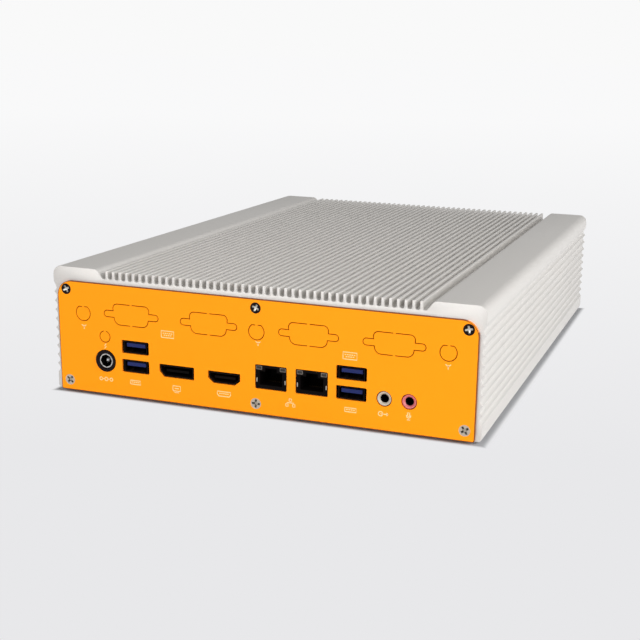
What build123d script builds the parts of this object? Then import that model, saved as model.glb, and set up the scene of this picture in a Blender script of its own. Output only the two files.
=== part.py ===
from build123d import *

import os

# Fanless industrial computer: a finned aluminium extrusion closed by two screwed sheet panels and a
# bottom tray, with a mainboard whose sockets reach through the front panel.
# Millimetres. X runs right as seen from the connector panel, Y from that panel to the back, Z up from
# the ground. The origin is the middle of the ground that the computer covers.

# Housing: one extrusion, open underneath and cut square at both ends
housing_width = 228.0
housing_height = 65.0
housing_depth = 305.0
side_wall = 4.1
top_wall = 5.0

# Cooling fins between the two shoulders
fin_pitch_aim = 3.76
fin_thickness = 1.5
fin_height = 4.3
fin_drop = 0.5
fin_root_chamfer = 0.65
fin_tip_chamfer = 0.25

# Shoulders: a slope up from the last fin, a flat top and a brow that overhangs the side
shoulder_gap = 1.7
shoulder_run = 3.6
shoulder_flat = 25.23
shoulder_foot_radius = 1.2
shoulder_top_radius = 3.0
brow_radius = 4.5
brow_height = 8.0
brow_lip_radius = 1.2

# Side ridges, left between rounded grooves
ridge_pitch = 4.8
ridge_land = 0.6
ridge_inset = 0.2
groove_depth = 1.3
top_ridge_drop = 13.7
lowest_groove_height = 10.5
lower_edge_radius = 1.5

# Screw ports that run the length of the extrusion, and the ledges that the tray is screwed to
port_boss_radius = 3.6
ledge_width = 12.2
ledge_thickness = 3.6

# Front and rear panels
panel_thickness = 1.5
panel_side_rim = 3.2
panel_top_rim = 7.0
panel_upper_radius = 8.0
panel_lower_radius = 1.0
screw_side_inset = 4.95
screw_top_inset = 4.4
screw_bottom_inset = 5.2

# Screws
screw_radius = 1.5
thread_clearance = 0.05
hole_clearance = 0.2
sink_floor = 0.2
head_recess = 0.05
cross_width = 0.8
cross_length = 2.8
cross_depth = 0.8
head_angle = 90.0
panel_screw_length = 8.0
tray_screw_length = 4.8
hex_head_flats = 5.5
hex_head_height = 2.0
tray_screw_rows = 2
tray_screw_end_inset = 27.5

# Bottom tray, folded up at both ends
tray_thickness = 1.5
tray_side_gap = 0.3
tray_flange_height = 9.5
tray_bend_radius = 0.6
nut_thickness = 2.2
nut_radius = 3.0
mounting_pitch = 100.0
mounting_screw_radius = 2.0
mounting_nut_flats = 7.0
mounting_nut_height = 2.0

# Rubber feet
foot_height = 1.5
foot_radius = 6.0
foot_side_inset = 22.0
foot_end_inset = 26.0

# Mainboard and what carries it
board_side_gap = 4.5
board_thickness = 1.6
board_centre_x = 2.0
board_setback = 2.0
standoff_height = 9.9
standoff_across_flats = 6.0
board_hole_radius = 1.7
board_hole_side_inset = 7.0
board_hole_front_inset = 30.0
board_hole_back_inset = 6.0

# Knock-outs, cut by laser and held by short tabs. Here and for the sockets a share across is of the
# panel's half width from its middle, and a share up is of its height.
laser_cut = 0.45
knockout_tab = 1.2
serial_shares_across = (-0.6182, -0.2283, 0.2491, 0.6372)
serial_share_up = 0.7405
serial_overall = 30.8
serial_ear_width = 3.4
serial_body_height = 10.8
serial_body_top = 21.1
serial_body_bottom = 18.6
serial_top_radius = 2.4
serial_bottom_radius = 3.4
antenna_shares_across = (-0.8682, 0.0045, 0.8736)
antenna_share_up = 0.7216
antenna_radius = 4.1
antenna_flat = 3.3
spare_share_up = 0.5276
spare_radius = 2.95

# Sockets: every height is above the mainboard's top face
window_gap = 0.6
shell_wall = 0.4
socket_recess = 0.3
can_gap = 0.3

usb_shares_across = {"left": -0.6015, "right": 0.4495}
usb_window = (15.6, 6.9)
usb_window_radius = 0.8
usb_lower_height = 3.5
usb_pitch = 10.0
usb_opening = (12.5, 5.12)
usb_depth = 17.0
usb_port_depth = 9.5
usb_tongue = (10.6, 1.9)
usb_tongue_drop = 0.7
usb_tongue_setback = 0.8

display_share_across = -0.3912
display_window = (19.5, 6.7)
display_corner = (2.5, 2.9)
display_tongue = (12.6, 1.2)
hdmi_share_across = -0.1543
hdmi_window = (17.6, 6.3)
hdmi_corner = (3.0, 2.5)
hdmi_tongue = (11.4, 1.2)
video_window_radius = 0.4
video_depth = 15.0
video_port_depth = 8.0
video_tongue_setback = 1.0
video_sill = 0.05

lan_shares_across = {"left": 0.0731, "right": 0.2662}
lan_window = (16.8, 12.4)
lan_window_radius = 0.7
lan_sill = 0.1
lan_gap = 0.35
lan_wall = 0.3
lan_depth = 21.0
lan_cavity = (11.9, 6.9)
lan_cavity_floor = 1.5
lan_latch = (6.2, 1.8)
lan_cavity_depth = 14.0
lan_light = (3.0, 1.9)
lan_light_depth = 6.0
lan_contact_count = 8
lan_contact_pitch = 1.02
lan_contact_thickness = 0.35
lan_contact_rise = 1.6
lan_contact_length = 7.0
lan_finger = (1.6, 0.25, 2.4)

audio_shares_across = {"line": 0.5988, "microphone": 0.7103}
audio_axis_height = 2.85
audio_hole_radius = 3.9
audio_nose_radius = 3.4
audio_bore_radius = 1.8
audio_mouth_radius = 2.1
audio_body_height = 6.6
audio_body_depth = 13.0
audio_body_gap = 1.55
audio_back_wall = 1.0

jack_share_across = -0.7577
jack_axis_height = 4.75
jack_hole_radius = 5.9
jack_barrel_radius = 5.6
jack_barrel_proud = 0.4
jack_body = (9.6, 9.4, 13.5)
jack_mouth_depth = 0.8
jack_ring_radius = 3.7
jack_ring_length = 8.9
jack_throat_flats = 6.2
jack_pin_radius = 1.05
jack_pin_setback = 2.2
jack_seat_clearance = 0.05

# Power switch in the rear panel, seen from behind
switch_side_inset = 30.8
switch_share_up = 0.5862
switch_hole_radius = 8.1
switch_barrel_radius = 8.0
switch_barrel_length = 14.0
switch_flange_radius = 9.2
switch_flange_thickness = 1.6
switch_rear_radius = 7.0
switch_rear_length = 10.0
switch_nut_across_flats = 21.0
switch_nut_thickness = 3.0
button_radius = 5.6
button_clearance = 0.15
button_proud = 0.6
button_travel = 1.2
button_rim = 0.9
button_rim_thickness = 1.0
switch_lip = 2.4
light_ring_inner = 6.4
light_ring_outer = 7.3
light_ring_depth = 0.8

# Processor and the block that carries its heat to the housing. Here and for the small parts a share
# across is of the board's width from its left edge, and a share back is of its depth from its front.
processor_share_back = 0.5376
processor_substrate = (37.5, 37.5, 1.2)
processor_lid = (31.0, 31.0, 1.6)
pad_thickness = 0.5
block_foot = 34.0
block_top = 56.0
block_top_thickness = 8.0
block_port_gap = 2.4
block_screw_inset = 5.0
block_screw_length = 11.0
block_screw_depth = 3.8

# Memory, drive and small parts
memory_edge_gap = 10.8
memory_share_back = 0.7259
memory_board = (67.6, 30.0, 1.2)
memory_lift = 3.0
memory_socket_depth = 6.5
memory_socket_height = 5.2
memory_arm = 2.2
memory_chip = (10.0, 11.0, 0.9)
memory_chip_count = 4
memory_chip_pitch = 15.0

drive_past_mounting_hole = 22.0
drive_gap_behind_board = 14.0
drive_back_gap = 19.0
drive_size = (69.85, 100.0, 7.0)
drive_edge_radius = 1.2
drive_screw_pitch = (61.7, 76.6)
drive_screw_length = 3.6
bracket_thickness = 1.2
bracket_height = 12.0
bracket_foot_width = 11.0
bracket_bend_radius = 0.5
bracket_side_gap = 0.5

cell_shares = (0.1344, 0.86)
cell_radius = 10.0
cell_thickness = 3.2
cell_holder_wall = 1.6
cell_holder_height = 5.0
cell_holder_floor = 1.0

chip_shares = ((0.5753, 0.5259), (0.1344, 0.3494), (0.8763, 0.3729))
chip_size = (14.0, 14.0, 1.4)
choke_size = (7.0, 7.0, 4.2)
choke_count = 4
choke_pitch = 9.5
choke_y_offset = 32.0

# Places that follow from the sizes above
front_reach = panel_thickness + jack_barrel_proud
rear_reach = panel_thickness + switch_flange_thickness + button_proud
overall_depth = front_reach + housing_depth + rear_reach
housing_front = front_reach - overall_depth / 2
housing_back = housing_front + housing_depth
half_width = housing_width / 2
base_z = foot_height
fin_top = housing_height - fin_drop
fin_floor = fin_top - fin_height
ceiling = fin_floor - top_wall
ridge_x = half_width - ridge_inset
inner_x = ridge_x - side_wall
panel_half = half_width - panel_side_rim
panel_height = housing_height - panel_top_rim
screw_x = panel_half - screw_side_inset
screw_low = screw_bottom_inset
screw_high = panel_height - screw_top_inset
shank_radius = screw_radius - thread_clearance
clear_radius = screw_radius + hole_clearance
head_radius = screw_radius + panel_thickness - sink_floor
ledge_x = inner_x - ledge_width
tray_half = inner_x - tray_side_gap
flange_half = ledge_x - tray_side_gap
tray_screw_x = (ledge_x + screw_x - screw_radius) / 2
tray_screw_pitch = housing_depth - 2 * tray_screw_end_inset
board_top = tray_thickness + standoff_height + board_thickness
board_front = housing_front + board_setback
board_back = housing_back - drive_back_gap - drive_size[1] - drive_gap_behind_board
board_depth = board_back - board_front
board_width = 2 * (ledge_x - board_side_gap)
board_left = board_centre_x - board_width / 2
board_right = board_centre_x + board_width / 2
serial_centres_x = [share * panel_half for share in serial_shares_across]
serial_height_z = serial_share_up * panel_height
antenna_centres_x = [share * panel_half for share in antenna_shares_across]
antenna_height_z = antenna_share_up * panel_height
usb_centres_x = {side: share * panel_half for side, share in usb_shares_across.items()}
lan_centres_x = {side: share * panel_half for side, share in lan_shares_across.items()}
audio_centres_x = {side: share * panel_half for side, share in audio_shares_across.items()}
display_centre_x = display_share_across * panel_half
hdmi_centre_x = hdmi_share_across * panel_half
jack_centre_x = jack_share_across * panel_half
spare_spot = (jack_centre_x, spare_share_up * panel_height)
switch_spot = (switch_side_inset - panel_half, switch_share_up * panel_height)
audio_body_width = audio_centres_x["microphone"] - audio_centres_x["line"] - audio_body_gap
can_start = housing_front + can_gap
nose_front = housing_front - panel_thickness + socket_recess
nose_length = can_start - nose_front
processor_x = -(port_boss_radius + block_port_gap + block_top / 2)
processor_y = board_front + processor_share_back * board_depth
block_screw_pitch = block_top - 2 * block_screw_inset
memory_half = memory_board[0] / 2 + memory_arm + hole_clearance
memory_x = board_right - memory_edge_gap - memory_half
memory_y = board_front + memory_share_back * board_depth
drive_x = drive_past_mounting_hole - mounting_pitch / 2
drive_y = housing_back - drive_back_gap - drive_size[1] / 2
deck_half = drive_size[0] / 2 + bracket_side_gap
deck_top = tray_thickness + bracket_height
cell_spot, *chip_spots = [
    (board_left + across * board_width, board_front + back * board_depth)
    for across, back in (cell_shares, *chip_shares)
]
corner_screws = [(side * screw_x, z) for side in (-1, 1) for z in (screw_low, screw_high)]
panel_screws = corner_screws + [(0, screw_low), (0, screw_high)]

# Working planes. On the upright ones local x is across and local y is up.
section_plane = Plane(origin=(0, housing_back, base_z), x_dir=(1, 0, 0), z_dir=(0, -1, 0))
front_plane = Plane(origin=(0, housing_front, base_z), x_dir=(1, 0, 0), z_dir=(0, -1, 0))
rear_plane = Plane(origin=(0, housing_back, base_z), x_dir=(-1, 0, 0), z_dir=(0, 1, 0))
front_face = front_plane.offset(panel_thickness)
rear_face = rear_plane.offset(panel_thickness)
nose_plane = Plane(origin=(0, nose_front, base_z + board_top), x_dir=(1, 0, 0), z_dir=(0, -1, 0))
can_plane = nose_plane.offset(-nose_length)
jack_plane = nose_plane.offset(socket_recess + jack_barrel_proud)
board_plane = Plane(origin=(0, 0, base_z + board_top))
ceiling_plane = Plane(origin=(0, 0, base_z + ceiling), x_dir=(1, 0, 0), z_dir=(0, 0, -1))
ground_plane = Plane(origin=(0, 0, base_z), x_dir=(1, 0, 0), z_dir=(0, 0, -1))

os.makedirs("parts", exist_ok=True)


def save(builder, name):
    """Labels a finished piece and writes it to its own file."""
    builder.part.label = name
    export_step(builder.part, f"parts/{name}.step")


def nearest_vertex(sketch, x, y):
    """The sketch's corner that lies nearest to a point."""
    return sketch.vertices().sort_by_distance((x, y, 0))[0]


# Screws and sockets that are used more than once

def countersunk_screw(head, length, cross_angle):
    """A flat-headed cross-recess screw that points down from its head's face at the origin."""
    with BuildPart() as screw:
        with BuildSketch(Plane.XZ):
            with BuildLine():
                Polyline(
                    (0, 0), (head, 0), (shank_radius, shank_radius - head),
                    (shank_radius, -length), (0, -length), close=True,
                )
            make_face()
        revolve(axis=Axis.Z)
        with BuildSketch():
            for turn in (cross_angle, cross_angle + 90):
                Rectangle(cross_length, cross_width, rotation=turn)
        extrude(amount=-min(cross_depth, length / 2), mode=Mode.SUBTRACT)
    return screw.part


def countersunk_screws(plane, spots, head, length, first_angle):
    """A set of equal screws, each with its cross at another angle, as a hand leaves them."""
    with BuildPart() as screws:
        for order, spot in enumerate(spots):
            with Locations(plane.offset(-head_recess)):
                with Locations(spot):
                    add(countersunk_screw(head, length, first_angle + 37 * order))
    return screws


def hex_screws(plane, pitches, length):
    """Four hexagon-headed screws: heads on a plane, shanks behind it."""
    with BuildPart() as screws:
        with BuildSketch(plane):
            with GridLocations(*pitches, 2, 2):
                RegularPolygon(hex_head_flats / 2, 6, major_radius=False)
        extrude(amount=hex_head_height)
        with BuildSketch(plane):
            with GridLocations(*pitches, 2, 2):
                Circle(shank_radius)
        extrude(amount=-length)
    return screws


def panel_blank():
    """The outline that both panels share, standing on the housing's lower edge."""
    with BuildSketch() as blank:
        with Locations((0, panel_height / 2)):
            Rectangle(2 * panel_half, panel_height)
        fillet(blank.vertices().group_by(Axis.Y)[-1], panel_upper_radius)
        fillet(blank.vertices().group_by(Axis.Y)[0], panel_lower_radius)
    return blank.sketch


def corner_cut_window(width, height, corner, both_sides):
    """A socket window that stands on y = 0 with its lower left, or both lower, corners cut off."""
    run, rise = corner
    with BuildSketch() as window:
        with BuildLine():
            right_foot = (width / 2 - run, 0) if both_sides else (width / 2, 0)
            right_side = (width / 2, rise) if both_sides else (width / 2, height / 2)
            Polyline(
                (-width / 2, height), (-width / 2, rise), (run - width / 2, 0), right_foot,
                right_side, (width / 2, height), close=True,
            )
        make_face()
    return window.sketch


def softened(outline, radius):
    """An outline with every corner rounded."""
    with BuildSketch() as soft:
        add(outline)
        fillet(soft.vertices(), radius)
    return soft.sketch


def knockout_slot(outline, tabs):
    """The laser's path round an outline, broken by uncut tabs."""
    with BuildSketch() as slot:
        add(offset(outline, laser_cut / 2, mode=Mode.PRIVATE))
        add(offset(outline, -laser_cut / 2, mode=Mode.PRIVATE), mode=Mode.SUBTRACT)
        with Locations(*tabs):
            Rectangle(knockout_tab, 3 * laser_cut, mode=Mode.SUBTRACT)
    return slot.sketch


def serial_knockout():
    """A nine-way serial connector's place: a D-shaped body with two round-ended ears."""
    half = serial_body_height / 2
    with BuildSketch() as outline:
        with BuildLine():
            Polyline(
                (-serial_body_top / 2, half), (-serial_body_bottom / 2, -half),
                (serial_body_bottom / 2, -half), (serial_body_top / 2, half), close=True,
            )
        make_face()
        fillet(outline.vertices().group_by(Axis.Y)[-1], serial_top_radius)
        fillet(outline.vertices().group_by(Axis.Y)[0], serial_bottom_radius)
        SlotOverall(serial_overall, serial_ear_width)
    return knockout_slot(outline.sketch, [(0, half), (0, -half)])


def antenna_knockout():
    """An antenna connector's place: a circle with a flat at its top."""
    with BuildSketch() as outline:
        Circle(antenna_radius)
        with Locations((0, antenna_flat + antenna_radius)):
            Rectangle(2 * antenna_radius, 2 * antenna_radius, mode=Mode.SUBTRACT)
    return knockout_slot(outline.sketch, [(0, antenna_flat)])


def spare_knockout():
    """A small round place above the power socket."""
    with BuildSketch() as outline:
        Circle(spare_radius)
    return knockout_slot(outline.sketch, [(0, spare_radius)])


# Housing

groove_chord = ridge_pitch - ridge_land
groove_radius = (groove_chord**2 / 4 + groove_depth**2) / (2 * groove_depth)
groove_x = ridge_x - groove_depth + groove_radius
brow_low = housing_height - brow_height
top_groove = housing_height - top_ridge_drop + ridge_pitch / 2
ridge_count = round((top_groove - lowest_groove_height) / ridge_pitch) + 1
slope_top_x = half_width - shoulder_flat
slope_foot_x = slope_top_x - shoulder_run
last_fin_face = slope_foot_x - shoulder_gap
fin_field = 2 * last_fin_face - fin_thickness
fin_count = 2 * round(fin_field / fin_pitch_aim / 2) + 1
fin_pitch = fin_field / (fin_count - 1)
valley_half = (fin_pitch - fin_thickness) / 2
grooves = [(groove_x, top_groove - step * ridge_pitch) for step in range(ridge_count)]

with BuildSketch() as valley:
    with BuildLine():
        Polyline(
            (0, 0), (valley_half - fin_root_chamfer, 0), (valley_half, fin_root_chamfer),
            (valley_half, fin_height - fin_tip_chamfer), (valley_half + fin_tip_chamfer, fin_height),
            (0, fin_height), close=True,
        )
    make_face()
    mirror(about=Plane.YZ)

with BuildPart() as housing:
    with BuildSketch(section_plane) as section:
        with BuildLine():
            Polyline(
                (0, fin_top), (last_fin_face - fin_tip_chamfer, fin_top),
                (last_fin_face, fin_top - fin_tip_chamfer),
                (last_fin_face, fin_floor + fin_root_chamfer), (last_fin_face + fin_root_chamfer, fin_floor),
                (slope_foot_x, fin_floor), (slope_top_x, housing_height),
                (half_width, housing_height), (half_width, brow_low),
                (ridge_x - groove_depth, top_groove), (ridge_x, top_groove), (ridge_x, 0),
                (inner_x, 0), (inner_x, ceiling), (0, ceiling), close=True,
            )
        make_face()
        fillet(nearest_vertex(section, slope_foot_x, fin_floor), shoulder_foot_radius)
        fillet(nearest_vertex(section, slope_top_x, housing_height), shoulder_top_radius)
        fillet(nearest_vertex(section, half_width, housing_height), brow_radius)
        fillet(nearest_vertex(section, half_width, brow_low), brow_lip_radius)
        fillet(nearest_vertex(section, ridge_x, 0), lower_edge_radius)
        with Locations(*grooves):
            Circle(groove_radius, mode=Mode.SUBTRACT)
        # the screw ports in the corner and on the ledge, each webbed to the wall
        with Locations((screw_x, screw_high), (screw_x, screw_low)):
            Circle(port_boss_radius)
        with Locations(((screw_x + inner_x) / 2, (screw_high + ceiling) / 2)):
            Rectangle(inner_x - screw_x, ceiling - screw_high + port_boss_radius)
        with Locations(((screw_x + inner_x) / 2, screw_low)):
            Rectangle(inner_x - screw_x, port_boss_radius)
        with Locations((inner_x - ledge_width / 2, tray_thickness + ledge_thickness / 2)):
            Rectangle(ledge_width, ledge_thickness)
        with Locations((inner_x - ledge_width / 2, tray_thickness / 2)):
            Rectangle(ledge_width, tray_thickness, mode=Mode.SUBTRACT)
        mirror(about=Plane.YZ)
        with Locations((0, screw_high)):
            Circle(port_boss_radius)
        with Locations(*corner_screws, (0, screw_high)):
            Circle(screw_radius, mode=Mode.SUBTRACT)
        with Locations((0, fin_floor)):
            with GridLocations(fin_pitch, 0, fin_count - 1, 1):
                add(valley.sketch, mode=Mode.SUBTRACT)
    extrude(amount=housing_depth)
    with Locations(ceiling_plane):
        with Locations((processor_x, -processor_y)):
            with GridLocations(block_screw_pitch, block_screw_pitch, 2, 2):
                Hole(screw_radius, depth=block_screw_depth)
    with Locations(ground_plane.offset(-tray_thickness)):
        with GridLocations(2 * tray_screw_x, tray_screw_pitch, 2, tray_screw_rows):
            Hole(screw_radius, depth=ledge_thickness)
save(housing, "housing")

# Front panel

video_places = (
    (display_centre_x, corner_cut_window(*display_window, display_corner, False)),
    (hdmi_centre_x, corner_cut_window(*hdmi_window, hdmi_corner, True)),
)
usb_heights = (usb_lower_height, usb_lower_height + usb_pitch)

with BuildPart() as front_panel:
    with BuildSketch(front_plane) as front_outline:
        add(panel_blank())
        with Locations(*[(x, board_top + z) for x in usb_centres_x.values() for z in usb_heights]):
            RectangleRounded(*usb_window, usb_window_radius, mode=Mode.SUBTRACT)
        with Locations(*[(x, board_top + lan_sill + lan_window[1] / 2) for x in lan_centres_x.values()]):
            RectangleRounded(*lan_window, lan_window_radius, mode=Mode.SUBTRACT)
        for x, window in video_places:
            with Locations((x, board_top + video_sill)):
                add(softened(window, video_window_radius), mode=Mode.SUBTRACT)
        with Locations(*[(x, board_top + audio_axis_height) for x in audio_centres_x.values()]):
            Circle(audio_hole_radius, mode=Mode.SUBTRACT)
        with Locations((jack_centre_x, board_top + jack_axis_height)):
            Circle(jack_hole_radius, mode=Mode.SUBTRACT)
        with Locations(*[(x, serial_height_z) for x in serial_centres_x]):
            add(serial_knockout(), mode=Mode.SUBTRACT)
        with Locations(*[(x, antenna_height_z) for x in antenna_centres_x]):
            add(antenna_knockout(), mode=Mode.SUBTRACT)
        with Locations(spare_spot):
            add(spare_knockout(), mode=Mode.SUBTRACT)
    extrude(amount=panel_thickness)
    with Locations(front_face):
        with Locations(*panel_screws):
            CounterSinkHole(
                clear_radius, head_radius + head_recess + thread_clearance, counter_sink_angle=head_angle
            )
save(front_panel, "front_panel")

# Rear panel

with BuildPart() as rear_panel:
    with BuildSketch(rear_plane):
        add(panel_blank())
        with Locations(switch_spot):
            Circle(switch_hole_radius, mode=Mode.SUBTRACT)
    extrude(amount=panel_thickness)
    with Locations(rear_face):
        with Locations(*panel_screws):
            CounterSinkHole(
                clear_radius, head_radius + head_recess + thread_clearance, counter_sink_angle=head_angle
            )
save(rear_panel, "rear_panel")

# Bottom tray with its end flanges, and the press nuts in it

tray_head_radius = screw_radius + tray_thickness - sink_floor
with BuildPart() as bottom_tray:
    tray_side = Plane(origin=(-flange_half, 0, base_z), x_dir=(0, 1, 0), z_dir=(1, 0, 0))
    with BuildSketch(tray_side) as tray_section:
        with Locations(((housing_front + housing_back) / 2, tray_flange_height / 2)):
            Rectangle(housing_depth, tray_flange_height)
        fillet(tray_section.vertices().group_by(Axis.Y)[0], tray_bend_radius + tray_thickness)
        with Locations(((housing_front + housing_back) / 2, tray_thickness + tray_flange_height / 2)):
            Rectangle(housing_depth - 2 * tray_thickness, tray_flange_height, mode=Mode.SUBTRACT)
        floor_corners = tray_section.vertices().filter_by_position(
            Axis.Y, tray_thickness - 0.01, tray_thickness + 0.01
        )
        fillet(floor_corners, tray_bend_radius)
    extrude(amount=2 * flange_half)
    with BuildSketch(Plane.XY.offset(base_z)):
        with Locations((0, (housing_front + housing_back) / 2)):
            Rectangle(2 * tray_half, housing_depth - 2 * (tray_bend_radius + tray_thickness))
    extrude(amount=tray_thickness)
    with Locations(front_plane, rear_plane):
        with Locations((0, screw_low)):
            Hole(screw_radius, depth=tray_thickness)
    with Locations(ground_plane):
        with GridLocations(2 * tray_screw_x, tray_screw_pitch, 2, tray_screw_rows):
            CounterSinkHole(
                clear_radius, tray_head_radius + head_recess + thread_clearance,
                depth=tray_thickness, counter_sink_angle=head_angle,
            )
        with GridLocations(mounting_pitch, mounting_pitch, 2, 2):
            Hole(mounting_screw_radius, depth=tray_thickness)
save(bottom_tray, "bottom_tray")

with BuildPart() as flange_nuts:
    for plane in (front_plane, rear_plane):
        with BuildSketch(plane.offset(-tray_thickness)):
            with Locations((0, screw_low)):
                Circle(nut_radius)
                Circle(screw_radius, mode=Mode.SUBTRACT)
        extrude(amount=-nut_thickness)
save(flange_nuts, "flange_nuts")

with BuildPart() as mounting_nuts:
    with BuildSketch(Plane.XY.offset(base_z + tray_thickness)):
        with GridLocations(mounting_pitch, mounting_pitch, 2, 2):
            RegularPolygon(mounting_nut_flats / 2, 6, major_radius=False)
            Circle(mounting_screw_radius, mode=Mode.SUBTRACT)
    extrude(amount=mounting_nut_height)
save(mounting_nuts, "mounting_nuts")

# Rubber feet

with BuildPart() as rubber_feet:
    with BuildSketch():
        with Locations((0, (housing_front + housing_back) / 2)):
            with GridLocations(
                housing_width - 2 * foot_side_inset, housing_depth - 2 * foot_end_inset, 2, 2
            ):
                Circle(foot_radius)
    extrude(amount=foot_height)
save(rubber_feet, "rubber_feet")

# Panel and tray screws

upper_spots = [(x, screw_high) for x in (-screw_x, 0, screw_x)]
lower_spots = [(x, screw_low) for x in (-screw_x, 0, screw_x)]
save(
    countersunk_screws(front_face, upper_spots, head_radius, panel_screw_length, 8),
    "front_screws_upper",
)
save(
    countersunk_screws(
        front_face, lower_spots, head_radius, tray_thickness + panel_thickness + nut_thickness, 20
    ),
    "front_screws_lower",
)
save(
    countersunk_screws(
        rear_face, panel_screws, head_radius, tray_thickness + panel_thickness + nut_thickness, 15
    ),
    "rear_screws",
)
tray_row = (tray_screw_rows - 1) / 2
tray_spots = [
    (side * tray_screw_x, (row - tray_row) * tray_screw_pitch)
    for side in (-1, 1)
    for row in range(tray_screw_rows)
]
save(
    countersunk_screws(ground_plane, tray_spots, tray_head_radius, tray_screw_length, 5),
    "tray_screws",
)

# Mainboard, its standoffs and its screws

board_hole_depth = (board_hole_front_inset + board_depth - board_hole_back_inset) / 2
board_hole_pitch_y = board_depth - board_hole_front_inset - board_hole_back_inset
board_hole_pitch_x = board_width - 2 * board_hole_side_inset
board_hole_centre = (board_centre_x, board_front + board_hole_depth)

with BuildPart() as mainboard:
    with BuildSketch(board_plane):
        with Locations((board_centre_x, board_front + board_depth / 2)):
            Rectangle(board_width, board_depth)
        with Locations(board_hole_centre):
            with GridLocations(board_hole_pitch_x, board_hole_pitch_y, 2, 2):
                Circle(board_hole_radius, mode=Mode.SUBTRACT)
    extrude(amount=-board_thickness)
save(mainboard, "mainboard")

with BuildPart() as board_standoffs:
    with BuildSketch(Plane.XY.offset(base_z + tray_thickness)):
        with Locations(board_hole_centre):
            with GridLocations(board_hole_pitch_x, board_hole_pitch_y, 2, 2):
                RegularPolygon(standoff_across_flats / 2, 6, major_radius=False)
                Circle(screw_radius, mode=Mode.SUBTRACT)
    extrude(amount=standoff_height)
save(board_standoffs, "board_standoffs")

board_screw_plane = Plane(origin=(*board_hole_centre, base_z + board_top))
save(
    hex_screws(
        board_screw_plane, (board_hole_pitch_x, board_hole_pitch_y), board_thickness + standoff_height / 2
    ),
    "board_screws",
)

# Twin data sockets, left and right


def usb_shell(x):
    """The folded steel can round two ports, with a nose for each panel window."""
    width, height = usb_opening
    can_width = width + 2 * shell_wall
    can_top = usb_lower_height + usb_pitch + height / 2 + shell_wall
    ports = [(x, z) for z in usb_heights]
    with BuildPart() as shell:
        with BuildSketch(nose_plane):
            with Locations(*ports):
                Rectangle(can_width, height + 2 * shell_wall)
        extrude(amount=-nose_length)
        with BuildSketch(can_plane):
            with Locations((x, can_top / 2)):
                Rectangle(can_width, can_top)
        extrude(amount=-usb_depth)
        with BuildSketch(nose_plane):
            with Locations(*ports):
                Rectangle(width, height)
        extrude(amount=-(nose_length + usb_depth), mode=Mode.SUBTRACT)
        # the space between the two ports is open behind the can's front wall
        with BuildSketch(can_plane.offset(-shell_wall)):
            with Locations((x, usb_lower_height + usb_pitch / 2)):
                Rectangle(width, usb_pitch - height - 2 * shell_wall)
        extrude(amount=-usb_depth, mode=Mode.SUBTRACT)
    return shell


def usb_insulators(x):
    """The moulded insert of each port: a back that fills the can, and a tongue."""
    width, height = usb_opening
    tongue_width, tongue_thickness = usb_tongue
    tongue_z = height / 2 - usb_tongue_drop - tongue_thickness / 2
    with BuildPart() as insulators:
        with BuildSketch(nose_plane.offset(-usb_port_depth)):
            with Locations(*[(x, z) for z in usb_heights]):
                Rectangle(width, height)
        extrude(amount=-(nose_length + usb_depth - usb_port_depth))
        with BuildSketch(nose_plane.offset(-usb_tongue_setback)):
            with Locations(*[(x, z + tongue_z) for z in usb_heights]):
                Rectangle(tongue_width, tongue_thickness)
        extrude(amount=-(usb_port_depth - usb_tongue_setback))
    return insulators


for side, x in usb_centres_x.items():
    save(usb_shell(x), f"usb_shell_{side}")
    save(usb_insulators(x), f"usb_insulators_{side}")

# Video sockets


def video_shell(x, window):
    """A steel shell that follows its window's outline, on a foot that stands on the board."""
    outer = offset(window, -window_gap, mode=Mode.PRIVATE)
    inner = offset(window, -window_gap - shell_wall, mode=Mode.PRIVATE)
    span = outer.bounding_box()
    with BuildPart() as shell:
        with BuildSketch(nose_plane):
            with Locations((x, video_sill)):
                add(outer)
        extrude(amount=-(nose_length + video_depth))
        with BuildSketch(can_plane):
            with Locations((x, (video_sill + span.min.Y + shell_wall) / 2)):
                Rectangle(span.size.X - 2 * span.size.Y, video_sill + span.min.Y + shell_wall)
        extrude(amount=-video_depth)
        with BuildSketch(nose_plane):
            with Locations((x, video_sill)):
                add(inner)
        extrude(amount=-(nose_length + video_depth), mode=Mode.SUBTRACT)
    return shell


def video_insulator(x, window, tongue):
    """The moulded insert: a back that fills the shell, and a tongue for the contacts."""
    inner = offset(window, -window_gap - shell_wall, mode=Mode.PRIVATE)
    with BuildPart() as insulator:
        with BuildSketch(nose_plane.offset(-video_port_depth)):
            with Locations((x, video_sill)):
                add(inner)
        extrude(amount=-(nose_length + video_depth - video_port_depth))
        with BuildSketch(nose_plane.offset(-video_tongue_setback)):
            with Locations((x, video_sill + inner.center(CenterOf.BOUNDING_BOX).Y)):
                Rectangle(*tongue)
        extrude(amount=-(video_port_depth - video_tongue_setback))
    return insulator


for name, tongue, (x, window) in zip(("display", "hdmi"), (display_tongue, hdmi_tongue), video_places):
    save(video_shell(x, window), f"{name}_shell")
    save(video_insulator(x, window, tongue), f"{name}_insulator")

# Network sockets

lan_shell_width = lan_window[0] - 2 * lan_gap
lan_shell_low = lan_sill + lan_gap
lan_shell_top = lan_sill + lan_window[1] - lan_gap
lan_inner_width = lan_shell_width - 2 * lan_wall
lan_inner_low = lan_shell_low + lan_wall
lan_inner_top = lan_shell_top - lan_wall
lan_cavity_low = lan_inner_low + lan_cavity_floor
lan_cavity_top = lan_cavity_low + lan_cavity[1]
lan_light_spots = [
    (side * (lan_inner_width - lan_light[0]) / 2, lan_inner_top - lan_light[1] / 2) for side in (-1, 1)
]


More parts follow.
